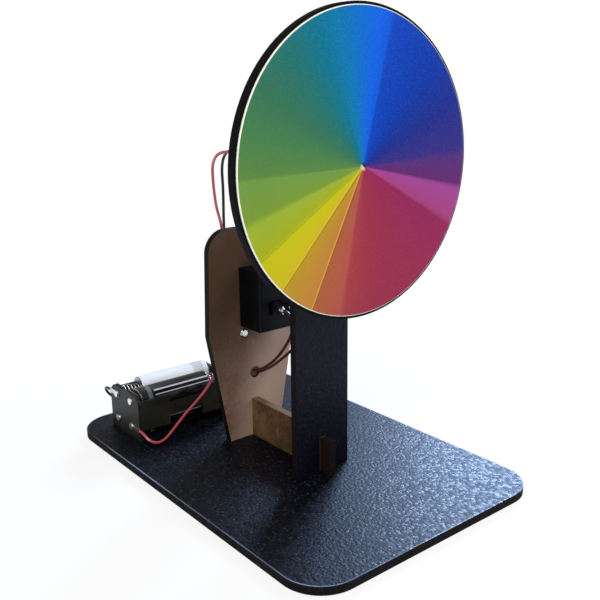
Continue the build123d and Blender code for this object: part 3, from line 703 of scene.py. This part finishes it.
@dataclass(frozen=True)
class CellFilm(Finish):
    """A dry cell: printed film over its steel can, with bare ends.

    Bands lie at set places along the cell. Thin pale lines at set angles round it, and streaks
    along it, are a painted reflection. The bare ends are where the cell faces along its axis.
    """

    left: float = 0.0
    right: float = 0.0
    film: Rgb = srgb(243, 246, 250)
    band: Rgb = srgb(168, 176, 190)
    band_share: float = 0.5
    metallic: float = 0.12
    rough: float = 0.24
    # The painted reflection lines round the cell: how strongly they show and their tone.
    painted_reflection_share: float = 0.0
    painted_reflection_tone: Rgb = srgb(226, 230, 238)
    bare_end: Rgb = srgb(176, 176, 178)

    def paint(self, graph: Graph) -> None:
        """Lays the film with its bands, and leaves the ends bare.

        Args:
            graph: The empty graph.
        """
        x, _, _ = graph.split(graph.place())
        along = (x - self.left) / (self.right - self.left)
        endwise, _, rise = graph.facing()
        ends = abs(endwise).step(0.55, 0.8)
        first = along.step(0.10, 0.105) * along.step(0.15, 0.145)
        second = along.step(0.80, 0.805) * along.step(0.93, 0.925)
        ripple = graph.noise(240, 3, 0.6, graph.mapped((0.2, 1, 1)))
        colour = graph.blend((first + second) * self.band_share, self.film, self.band)
        # Painted reflection: the ripple's streaks along the cell, laid in the band's tone.
        colour = graph.blend(ripple.step(0.5, 0.8) * 0.25, colour, self.band)
        # Painted reflection: thin pale lines where the surface rises at two set slopes round the
        # cell.
        upper = rise.step(0.66, 0.68) * rise.step(0.78, 0.76)
        lower = rise.step(0.34, 0.36) * rise.step(0.44, 0.42)
        span = along.step(0.17, 0.18) * along.step(0.96, 0.95)
        colour = graph.blend((upper + lower) * span * self.painted_reflection_share, colour, self.painted_reflection_tone)
        graph.set(
            Base_Color=graph.blend(ends, colour, self.bare_end),
            Metallic=self.metallic + (1 - self.metallic) * ends,
            Roughness=self.rough + 0.12 * (ripple - 0.5) + 0.08 * ends,
            Coat_Weight=0.5 - 0.5 * ends,
            Coat_Roughness=0.06,
            Normal=graph.bump(ripple, 0.00003, 0.5),
        )


@dataclass(frozen=True)
class Insulation(Finish):
    """Soft extruded insulation, with a waxy gloss and a little grime."""

    colour: Rgb = srgb(150, 20, 28)
    grime: Rgb = srgb(60, 20, 22)
    rough: float = 0.34
    coat: float = 0.9

    def paint(self, graph: Graph) -> None:
        """Clouds the colour and ripples the surface.

        Args:
            graph: The empty graph.
        """
        clouds = graph.noise(160, 4, 0.6)
        ripple = graph.noise(900, 3, 0.6)
        graph.set(
            Base_Color=graph.blend(clouds.step(0.45, 0.75) * 0.5, self.colour, self.grime),
            Roughness=self.rough + 0.2 * (clouds - 0.5),
            Coat_Weight=self.coat,
            Coat_Roughness=0.14,
            Normal=graph.bump(ripple, 0.00004, 0.5),
        )


@dataclass(frozen=True)
class StudioPaper(Finish):
    """The pale floor: it takes shadows near the object and is plain white further off.

    The white is there for the camera, and a share of it for gloss.
    """

    colour: Rgb = (0.94, 0.94, 0.94)
    tooth_tone: Rgb = (0.88, 0.88, 0.88)
    near: float = 0.12
    far: float = 0.3
    white_share: float = 0.82
    gloss_share: float = 0.3

    def paint(self, graph: Graph) -> None:
        """Mixes lit paper with plain white, by the distance from the object's middle.

        Args:
            graph: The empty graph.
        """
        tooth = graph.noise(300, 3, 0.6)
        graph.set(
            Base_Color=graph.blend(tooth.step(0.3, 0.7) * 0.02, self.colour, self.tooth_tone),
            Roughness=0.9,
            Specular_IOR_Level=0.05,
        )
        x, y, _ = graph.split(graph.place())
        reach = (x * x + y * y).root()
        seen = graph.node("ShaderNodeLightPath", output="Is Camera Ray")
        gloss = graph.node("ShaderNodeLightPath", output="Is Glossy Ray")
        share = reach.step(self.near, self.far) * (1 - self.white_share) + self.white_share
        paper = Sock(graph, graph.surface.outputs[0])
        white = graph.node("ShaderNodeEmission", inputs={"Color": (1, 1, 1), "Strength": 1.0})
        mixed = graph.node("ShaderNodeMixShader", inputs={
            0: share * seen.most(gloss * self.gloss_share), 1: paper, 2: white})
        graph.feed(graph.tree.nodes["Material Output"].inputs["Surface"], mixed)


class Wire(Enum):
    """The insulation colours in use."""

    RED = Insulation("wire_red", srgb(184, 72, 80), srgb(130, 28, 42))
    BLACK = Insulation("wire_black", srgb(10, 10, 12), srgb(24, 22, 22), 0.42, 0.25)
    DARK_RED = Insulation("wire_dark_red", srgb(84, 12, 18), srgb(40, 8, 12), coat=0.5)


_made: dict[Finish, bpy.types.Material] = {}
SCREW_STEEL = Metal("screw_steel", srgb(184, 184, 188), 0.22)
SOLDER = Metal("solder", srgb(196, 198, 202), 0.28, 500.0, stain=srgb(132, 134, 138))


def painted(finish: Finish) -> bpy.types.Material:
    """Gives a finish's material, and builds it the first time it is asked for.

    Args:
        finish: The finish.

    Returns:
        Its material.
    """
    if finish not in _made:
        _made[finish] = finish.material()
    return _made[finish]


def dress(node: str, finish: Finish) -> None:
    """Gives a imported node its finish.

    Args:
        node: The node's name.
        finish: What it wears.
    """
    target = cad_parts[node]
    for place in target.material_slots:
        place.material = painted(finish)
    if not target.material_slots:
        target.data.materials.append(painted(finish))
    log.info("dressed %s in %s", node, finish.name)


def grid_mesh(name: str, points: np.ndarray, wrap: bool = True) -> bpy.types.Object:
    """Makes a smooth mesh from a grid of points.

    Args:
        name: The piece's name.
        points: An array of rows, columns and three parts, in metres.
        wrap: Whether the last column joins the first.

    Returns:
        The new object at the origin.
    """
    rows, columns = points.shape[:2]
    index = np.arange(rows * columns).reshape(rows, columns)
    low, high = index[:-1], index[1:]
    if wrap:
        quads = np.stack([low, np.roll(low, -1, 1), np.roll(high, -1, 1), high], -1)
    else:
        quads = np.stack([low[:, :-1], low[:, 1:], high[:, 1:], high[:, :-1]], -1)
    mesh = bpy.data.meshes.new(name)
    mesh.from_pydata(points.reshape(-1, 3).tolist(), [], quads.reshape(-1, 4).tolist())
    mesh.polygons.foreach_set("use_smooth", np.ones(len(mesh.polygons), bool))
    mesh.update()
    made = bpy.data.objects.new(name, mesh)
    bpy.context.scene.collection.objects.link(made)
    return made


def turned_surface(start: Point, end: Point, along: np.ndarray, radius: np.ndarray,
                   ripple: float = 0.0, sides: int = 28) -> np.ndarray:
    """A surface turned about a straight line, closed to a point at both ends.

    Each point is start + along (end - start) + radius (cos a P + sin a Q), where P and Q are
    square to the line and a runs round it. The ripple adds a share of the radius that follows
    three waves round the line.

    Args:
        start: The line's first end, in millimetres.
        end: The line's second end, in millimetres.
        along: Shares of the line, one for each row.
        radius: The radius at each of them, in millimetres.
        ripple: The share of the radius that the waves add.
        sides: Points round the line.

    Returns:
        An array of rows, columns and three parts, in metres.
    """
    first = np.array(start) / 1000
    line = np.array(end) / 1000 - first
    axis = line / np.linalg.norm(line)
    helper = np.eye(3)[int(np.argmin(np.abs(axis)))]
    square = np.cross(axis, helper)
    square /= np.linalg.norm(square)
    other = np.cross(axis, square)
    round_ = np.linspace(0, 2 * np.pi, sides, endpoint=False)
    wave = 1 + ripple * np.sin(3 * round_[None] + 9 * along[:, None])
    reach = (radius[:, None] / 1000 * wave)[..., None]
    ring = np.cos(round_)[:, None] * square + np.sin(round_)[:, None] * other
    return first + along[:, None, None] * line + reach * ring[None]


@dataclass
class Lead:
    """One insulated lead on its own route, a smooth curve through the air between two joints."""

    node: str
    wire: Wire
    length: float
    points: tuple[Point, ...]
    slot: str
    diameter: float = 1.7

    def build(self) -> bpy.types.Object:
        """Lays the lead as a round curve whose control points are the route.

        Returns:
            The curve object.
        """
        data = bpy.data.curves.new(self.node + "_line", "CURVE")
        data.dimensions = "3D"
        data.resolution_u = 12
        data.bevel_depth = self.diameter / 2 / 1000
        data.bevel_resolution = 4
        data.use_fill_caps = True
        spline = data.splines.new("NURBS")
        spline.points.add(len(self.points) - 1)
        place = np.ones((len(self.points), 4))
        place[:, :3] = np.array(self.points) / 1000
        spline.points.foreach_set("co", place.ravel())
        spline.order_u = 3
        spline.use_endpoint_u = True
        made = bpy.data.objects.new(self.node + "_line", data)
        bpy.context.scene.collection.objects.link(made)
        data.materials.append(painted(self.wire.value))
        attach(made, Body.STAND.value)
        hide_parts(self.node)
        log.info("laid %s, %.1f mm", self.node, self.length)
        return made


@dataclass
class SolderJoint:
    """A solder cone where a lead's end meets its terminal."""

    name: str
    start: Point
    end: Point
    radius: float
    ripple: float = 0.05

    def build(self) -> bpy.types.Object:
        """Turns the cone's profile about the lead.

        The radius at a share t along the joint is R sin(pi t^0.8)^0.6, whose hump leans to the
        terminal.

        Returns:
            The joint's object.
        """
        along = np.linspace(0, 1, 18)
        profile = np.sin(np.pi * along**0.8) ** 0.6 * self.radius
        points = turned_surface(self.start, self.end, along, profile, self.ripple)
        made = grid_mesh(self.name, points)
        made.data.materials.append(painted(SOLDER))
        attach(made, Body.STAND.value)
        log.info("soldered %s", self.name)
        return made


@dataclass
class SpliceSleeve:
    """A shrunk sleeve over a joint of two leads, drawn in where the joint's wires end."""

    name: str
    start: Point
    end: Point
    outer: float = 1.66
    inner: float = 0.96
    neck: float = 0.2
    ripple: float = 0.03
    finish: Moulded = Moulded("shrunk_sleeve", srgb(22, 22, 24), srgb(52, 50, 50), 0.4)

    def build(self) -> bpy.types.Object:
        """Turns the sleeve's profile about the lead.

        The radius falls from its middle size to the lead's over the neck at each end, as a smooth
        step, and a slight wave along the middle shows the twisted joint.

        Returns:
            The sleeve's object.
        """
        along = np.concatenate([[0.0], np.linspace(0, 1, 40), [1.0]])
        near = np.clip(np.minimum(along, 1 - along) / self.neck, 0, 1)
        smooth = near * near * (3 - 2 * near)
        twist = 0.86 + 0.14 * np.cos(5 * np.pi * (along - 0.5))
        radius = self.inner + (self.outer - self.inner) * smooth * twist
        radius[[0, -1]] = 0.0
        points = turned_surface(self.start, self.end, along, radius, self.ripple)
        made = grid_mesh(self.name, points)
        made.data.materials.append(painted(self.finish))
        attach(made, Body.STAND.value)
        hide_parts("splice_sleeves")
        log.info("shrunk %s", self.name)
        return made


@dataclass
class HoleSeal:
    """Brown sealant round the leads in the back board's hole, which keeps them off the cut edge."""

    centre: Point = (0.5, 33.9, 45.0)
    radius: float = 3.46
    half_depth: float = 1.9
    finish: Moulded = Moulded("sealant", srgb(96, 74, 62), srgb(122, 98, 86), 0.6, 700.0, 0.0002)

    def build(self) -> bpy.types.Object:
        """Turns a lens-shaped plug about the hole's axis.

        The radius at a share t along the hole is R (1 - |2 t - 1|^6)^(1/2).

        Returns:
            The plug.
        """
        along = 0.5 - 0.5 * np.cos(np.linspace(0, np.pi, 16))
        radius = self.radius * np.sqrt(np.clip(1 - np.abs(2 * along - 1) ** 6, 0, 1))
        across, middle, height = self.centre
        points = turned_surface(
            (across, middle - self.half_depth, height), (across, middle + self.half_depth, height),
            along, radius, sides=36)
        made = grid_mesh("lead_hole_seal", points)
        made.data.materials.append(painted(self.finish))
        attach(made, Body.STAND.value)
        log.info("sealed the lead hole")
        return made


@dataclass
class BoardStand:
    """The slotted boards: base, front post, back board and cross brace."""

    film: GrainedFilm = GrainedFilm("base_film", rim=(0.08, 0.12, 0.022))
    post_film: GrainedFilm = GrainedFilm(
        "post_film", axis=1, dark=srgb(12, 12, 24), edge=srgb(20, 9, 14), speck_share=0.07)
    back: RawBoard = RawBoard("back_board_face")
    brace: RawBoard = RawBoard(
        "brace_face", across=0, light=srgb(140, 108, 72), brown=srgb(94, 70, 48),
        deep=srgb(52, 38, 28), shade_height=0.4, painted_light_share=0.0, nose_from=-0.0324, top_bare=0.7)

    def dress(self) -> None:
        """Gives each board its finish."""
        dress("base_plate", self.film)
        dress("front_post", self.post_film)
        dress("back_board", self.back)
        dress("cross_brace", self.brace)


@dataclass
class ColourDisc:
    """The turning disc with its card, hub and screws."""

    card: FanPrint = FanPrint("fan_print")
    card_radius: float = 73.6
    card_front: float = -63.4
    card_rear: float = -62.4
    card_edge: float = 0.6
    card_sides: int = 240
    rings: int = 11
    axis_height: float = 176.0
    board: CharredBoard = CharredBoard("disc_rim")
    hub: Metal = Metal("hub_turned", srgb(196, 197, 200), 0.26, 1400.0, (0.4, 1.0, 0.4))

    def build_card(self) -> bpy.types.Object:
        """Turns the card's profile about the shaft, a little smaller than its board.

        The profile goes out over the front in rings whose radius grows in even steps, round the
        front edge on a quarter circle, straight back over the paper's edge, and in again behind.

        Returns:
            The card.
        """
        thick = self.card_rear - self.card_front
        bend = np.linspace(0, np.pi / 2, 5)
        inner = self.card_radius - self.card_edge
        radius = np.concatenate([
            np.linspace(0, inner, self.rings + 1)[:-1], inner + self.card_edge * np.sin(bend),
            [self.card_radius], np.linspace(self.card_radius, 0, self.rings + 1)[1:]])
        depth = np.concatenate([
            np.zeros(self.rings), self.card_edge * (1 - np.cos(bend)),
            [thick], np.full(self.rings, thick)])
        points = turned_surface(
            (0, self.card_front, self.axis_height), (0, self.card_rear, self.axis_height),
            depth / thick, radius, sides=self.card_sides)
        made = grid_mesh("colour_card_print", points)
        made.data.materials.append(painted(self.card))
        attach(made, Body.ROTOR.value)
        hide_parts("colour_card")
        log.info("turned the colour card")
        return made

    def dress(self) -> None:
        """Gives the disc's pieces their finishes."""
        self.build_card()
        dress("disc_board", self.board)
        dress("disc_hub", self.hub)
        dress("hub_screws", SCREW_STEEL)
        dress("hub_set_screw", Metal("set_screw", srgb(70, 70, 74), 0.4))
        dress("motor_shaft", Metal(
            "shaft_ground", srgb(200, 200, 204), 0.16, 1600.0, (0.2, 1, 0.2)))


@dataclass
class GearMotor:
    """The motor behind the post, with its solder joints."""

    can: Metal = Metal("can_plate", srgb(176, 178, 180), 0.34, 700.0, (1.0, 0.05, 1.0))
    gearbox: Metal = Metal("gearbox_plate", srgb(168, 168, 166), 0.38, 600.0)
    joints: tuple[SolderJoint, ...] = (
        SolderJoint("solder_motor_left", (-5.5, 27.9, 176), (-5.5, 31.4, 176), 1.35),
        SolderJoint("solder_motor_right", (5.5, 27.9, 176), (5.5, 31.4, 176), 1.35),
    )

    def dress(self) -> None:
        """Gives the motor its finishes and its solder."""
        dress("motor_can", self.can)
        dress("motor_gearbox", self.gearbox)
        dress("motor_end_cap", Moulded("end_cap_moulding", srgb(26, 26, 27)))
        dress("motor_terminals", Metal("tinned_brass", srgb(196, 176, 118), 0.3))
        dress("motor_screws", SCREW_STEEL)
        for joint in self.joints:
            joint.build()


@dataclass
class RockerSwitch:
    """The panel switch in the back board."""

    joints: tuple[SolderJoint, ...] = (
        SolderJoint("solder_blade_motor", (1.55, 5.9, 89.6), (1.55, 2.3, 89.6), 1.5),
        SolderJoint("solder_blade_supply", (9.05, 5.9, 89.6), (9.05, 2.3, 89.6), 1.5),
    )

    def dress(self) -> None:
        """Gives the switch its finishes and its solder."""
        dress("switch_body", Moulded(
            "switch_moulding", srgb(5, 6, 8), srgb(22, 24, 32), 0.4, shine=0.12))
        dress("switch_rocker", Moulded(
            "rocker_polish", srgb(12, 12, 14), srgb(34, 34, 36), 0.2, coat=0.6))
        dress("switch_terminals", Metal("blade_nickel", srgb(212, 210, 204), 0.2))
        for joint in self.joints:
            joint.build()


@dataclass
class BatteryPack:
    """The two-deck holder with its cells, contacts and rivets."""

    left: float = -0.0587
    right: float = 0.0038
    holder: Moulded = Moulded(
        "holder_moulding", srgb(26, 26, 22), srgb(66, 64, 50), 0.5, 1800.0, dust_share=0.5)
    spring: Metal = Metal("spring_wire", srgb(206, 204, 198), 0.2, 1200.0)
    rivet: Metal = Metal("rivet_nickel", srgb(232, 228, 214), 0.3, stain=srgb(168, 160, 138))

    def dress(self) -> None:
        """Gives the holder, cells and metalwork their finishes."""
        silver = CellFilm("cell_silver", self.left, self.right)
        black = CellFilm("cell_black", self.left, self.right, film=srgb(10, 10, 14),
                         band=srgb(150, 152, 158), metallic=0.2, rough=0.12, painted_reflection_share=0.85)
        dress("battery_holder", self.holder)
        for deck in ("upper", "lower"):
            dress(f"cell_{deck}_rear", silver)
            dress(f"cell_{deck}_front", black)
            for row in ("rear", "front"):
                dress(f"spring_{deck}_{row}", self.spring)
        dress("contact_plates", Metal("contact_nickel", srgb(210, 208, 200), 0.24))
        for node in ("left_rivets", "right_rivets"):
            dress(node, self.rivet)
        dress("lead_lugs", Metal("lug_tin", srgb(204, 202, 196), 0.28))


@dataclass
class Wiring:
    """Every lead, splice and clip, from the motor down to the battery."""

    sleeves: tuple[SpliceSleeve, ...] = (
        SpliceSleeve("sleeve_motor", (-16.125, 39.9, 58), (-16.125, 39.9, 46)),
        SpliceSleeve("sleeve_ground", (-10.2, 41.5, 46), (-10.2, 41.5, 34)),
        SpliceSleeve("sleeve_supply", (1.85, 44, 43.3), (1.85, 56, 43.3)),
    )
    leads: tuple[Lead, ...] = field(default_factory=lambda: LEADS)

    def dress(self) -> None:
        """Lays the leads, shrinks the sleeves and dresses the clip."""
        for lead in self.leads:
            lead.build()
        for sleeve in self.sleeves:
            sleeve.build()
        HoleSeal().build()
        dress("cable_clip", Moulded("clip_nylon", srgb(24, 24, 25), rough=0.5))
        dress("clip_screw", Metal("clip_screw_nickel", srgb(222, 220, 214), 0.2))
        dress("clip_nut", Metal("nut_steel", srgb(170, 170, 172), 0.32))


LEADS: tuple[Lead, ...] = (
    Lead("motor_lead_red", Wire.RED, 140.6, (
        (-5.5, 29.8, 176), (-5.5, 36.4, 176), (-7, 42.4, 178), (-11.8, 46.2, 176.4),
        (-15.2, 46, 170.4), (-15.9, 44.8, 162), (-16, 43.7, 153.6), (-15.3, 43, 145.6),
        (-13.4, 42.2, 138), (-12.4, 42, 129), (-14.6, 41.8, 120), (-18.8, 41.6, 111.5),
        (-22, 41.3, 102), (-21.4, 40.5, 91.5), (-17.2, 39.9, 81), (-16.1254, 39.9, 69.1),
        (-16.1254, 39.9, 58)), "red_wire"),
    Lead("motor_lead_black", Wire.BLACK, 157.8, (
        (5.5, 29.8, 176), (5.5, 36.4, 176), (4.6, 42.8, 177.6), (0.6, 47.6, 178.8),
        (-4.6, 49.4, 175.6), (-7, 48.8, 168), (-7.2, 47.8, 158.5), (-7.8, 47, 149),
        (-8.6, 46.2, 140), (-9, 45.6, 131.5), (-10.8, 45.3, 122.5), (-14.6, 45, 113.5),
        (-17.8, 44.4, 103.5), (-17.6, 42.9, 92.5), (-14.2, 40.6, 82), (-13.4, 39.9, 71),
        (-10.2, 41.5, 59), (-10.2, 41.5, 46)), "black_wire"),
    Lead("switch_lead_motor", Wire.DARK_RED, 137.0, (
        (1.55, 3.9, 89.6), (1.55, -2.2, 89.6), (0.6, -6.4, 84), (0.6, -4.6, 77),
        (2.2, 1.2, 70.6), (4, 8.4, 63.6), (4.6, 15.4, 56.8), (3.6, 21.6, 51.4),
        (1.4, 27, 47.6), (-0.8, 34, 45.7), (-1.2, 40.4, 44.8), (-2.6, 46.6, 42.4),
        (-5.2, 51, 38.2), (-8.6, 52.8, 32.8), (-11, 52, 27.5), (-12.8, 48.6, 23.4),
        (-14.4, 43.6, 23.4), (-15.9, 40.2, 27.4), (-16.1254, 39.9, 34),
        (-16.1254, 39.9, 46)), "dark_red_wire"),
    Lead("switch_lead_supply", Wire.DARK_RED, 84.0, (
        (9.05, 3.9, 89.6), (9.05, -2.3, 89.6), (8.2, -6.8, 84.6), (7.4, -6, 78.4),
        (9, -1, 71.4), (11, 5.8, 65), (11.2, 12.8, 58.8), (9.2, 18.8, 53.2),
        (5.8, 24.8, 47.6), (1.85, 33.6, 43.3), (1.85, 44, 43.3)), "dark_red_wire"),
    Lead("battery_lead_red", Wire.RED, 93.5, (
        (1.85, 56, 43.3), (1.85, 62.3, 43.3), (-2.2, 67, 40.2), (-8.2, 66, 34),
        (-14.6, 63.8, 28.2), (-23.2, 62.4, 22.6), (-32.4, 61.4, 17), (-41.6, 59.2, 11.2),
        (-50.1, 56, 6.9), (-56.7, 55.1, 6.3), (-61.1, 57.7, 8.9), (-61.7, 61.9, 11.9),
        (-61.7, 66.15, 11.9)), "red_wire"),
    Lead("battery_lead_black", Wire.BLACK, 177.7, (
        (-10.2, 41.5, 34), (-10.2, 41.5, 26), (-9.8, 44.6, 19.5), (-7.4, 50.6, 15.8),
        (-1, 57, 13.6), (7, 61.8, 12.4), (13.6, 68.4, 11.2), (17.2, 77.2, 9.8), (18, 87, 8.6),
        (16.8, 96.6, 7.6), (11.8, 104.4, 6.9), (3, 108.6, 6.5), (-9, 109.4, 6.4),
        (-24, 109.8, 6.6), (-38, 110.8, 8.4), (-49, 113, 13), (-56.2, 114.6, 18.8),
        (-60.4, 113.6, 24.6), (-61.7, 109.6, 28.2), (-61.7, 104.55, 28.2)), "black_wire"),
)


@dataclass(frozen=True)
class Lamp:
    """One soft round lamp: where it stands, what it points at, its width, power and colour."""

    name: str
    place: Point
    target: Point
    size: float
    power: float
    colour: Rgb

    def build(self) -> None:
        """Adds the lamp and turns it to its target."""
        data = bpy.data.lights.new(self.name, "AREA")
        data.shape, data.size, data.energy, data.color = "DISK", self.size, self.power, self.colour
        made = bpy.data.objects.new(self.name, data)
        aim = (Vector(self.target) - Vector(self.place)).to_track_quat("-Z", "Y")
        made.matrix_world = Matrix.Translation(self.place) @ aim.to_matrix().to_4x4()
        bpy.context.scene.collection.objects.link(made)


@dataclass
class Studio:
    """The camera, the lamps, the pale floor and the white surround."""

    place: Point = (-0.2680, -0.3457, 0.2149)
    yaw: float = 38.906
    pitch: float = 15.111
    roll: float = -0.721
    lens: float = 48.13
    floor_size: float = 40.0
    floor_drop: float = 0.0003
    ambient: float = 0.3
    gloss_share: float = 0.1
    lamps: tuple[Lamp, ...] = (
        Lamp("key", (-0.9, -1.1, 1.5), (0, 0, 0.1), 1.2, 24, (1, 0.98, 0.95)),
        Lamp("fill", (1.3, -0.5, 0.9), (0, 0, 0.1), 1.2, 8, (0.95, 0.97, 1)),
        Lamp("window", (1.2, 0.68, 0.745), (0.05, -0.08, 0), 0.5, 34, (0.44, 0.63, 1)),
    )

    def camera(self) -> None:
        """Puts the camera where the photograph was taken.

        The view runs along (sin yaw cos pitch, cos yaw cos pitch, -sin pitch), and its right and up
        directions are turned about it by the roll.
        """
        yaw, pitch, roll = (math.radians(angle) for angle in (self.yaw, self.pitch, self.roll))
        ahead = Vector((
            math.sin(yaw) * math.cos(pitch), math.cos(yaw) * math.cos(pitch), -math.sin(pitch)))
        level = Vector((math.cos(yaw), -math.sin(yaw), 0))
        rise = level.cross(ahead)
        right = level * math.cos(roll) + rise * math.sin(roll)
        up = rise * math.cos(roll) - level * math.sin(roll)
        data = bpy.data.cameras.new("camera")
        data.lens = self.lens
        data.sensor_width = 36
        data.clip_start = 0.01
        made = bpy.data.objects.new("camera", data)
        turn = Matrix((right, up, -ahead)).transposed().to_4x4()
        made.matrix_world = Matrix.Translation(self.place) @ turn
        bpy.context.scene.collection.objects.link(made)
        bpy.context.scene.camera = made

    def surround(self) -> None:
        """Makes the world white to the camera, and softer in gloss and as a light."""
        world = bpy.data.worlds.new("surround")
        world.use_nodes = True
        bpy.context.scene.world = world
        tree = world.node_tree
        path = tree.nodes.new("ShaderNodeLightPath")
        either = tree.nodes.new("ShaderNodeMath")
        either.operation = "MAXIMUM"
        gloss = tree.nodes.new("ShaderNodeMath")
        gloss.operation = "MULTIPLY"
        gloss.inputs[1].default_value = self.gloss_share
        tree.links.new(path.outputs["Is Glossy Ray"], gloss.inputs[0])
        tree.links.new(path.outputs["Is Camera Ray"], either.inputs[0])
        tree.links.new(gloss.outputs[0], either.inputs[1])
        strength = tree.nodes.new("ShaderNodeMapRange")
        strength.inputs["To Min"].default_value = self.ambient
        strength.inputs["To Max"].default_value = 1.0
        tree.links.new(either.outputs[0], strength.inputs["Value"])
        back = tree.nodes["Background"]
        back.inputs["Color"].default_value = (1, 1, 1, 1)
        tree.links.new(strength.outputs[0], back.inputs["Strength"])

    def floor(self) -> None:
        """Lays the floor: a level square grid, a hair below the object."""
        span = np.linspace(-self.floor_size / 2, self.floor_size / 2, 9)
        across, deep = np.meshgrid(span, span, indexing="ij")
        points = np.stack([across, deep, np.full_like(across, -self.floor_drop)], -1)
        made = grid_mesh("floor", np.flip(points, 1), wrap=False)
        made.data.materials.append(painted(StudioPaper("studio_paper")))

    def build(self) -> None:
        """Builds the whole studio."""
        self.camera()
        for lamp in self.lamps:
            lamp.build()
        self.floor()
        self.surround()
        bpy.context.scene.view_settings.view_transform = "Standard"
        log.info("studio ready")


def main() -> None:
    """Builds and dresses every sub-assembly in order."""
    logging.basicConfig(level=logging.INFO, format="%(message)s")
    Studio().build()
    assemblies = (
        Wiring(), BoardStand(), ColourDisc(), GearMotor(), RockerSwitch(), BatteryPack())
    for assembly in assemblies:
        assembly.dress()
        log.info("%s done", type(assembly).__name__)


if __name__ == "__main__":
    main()
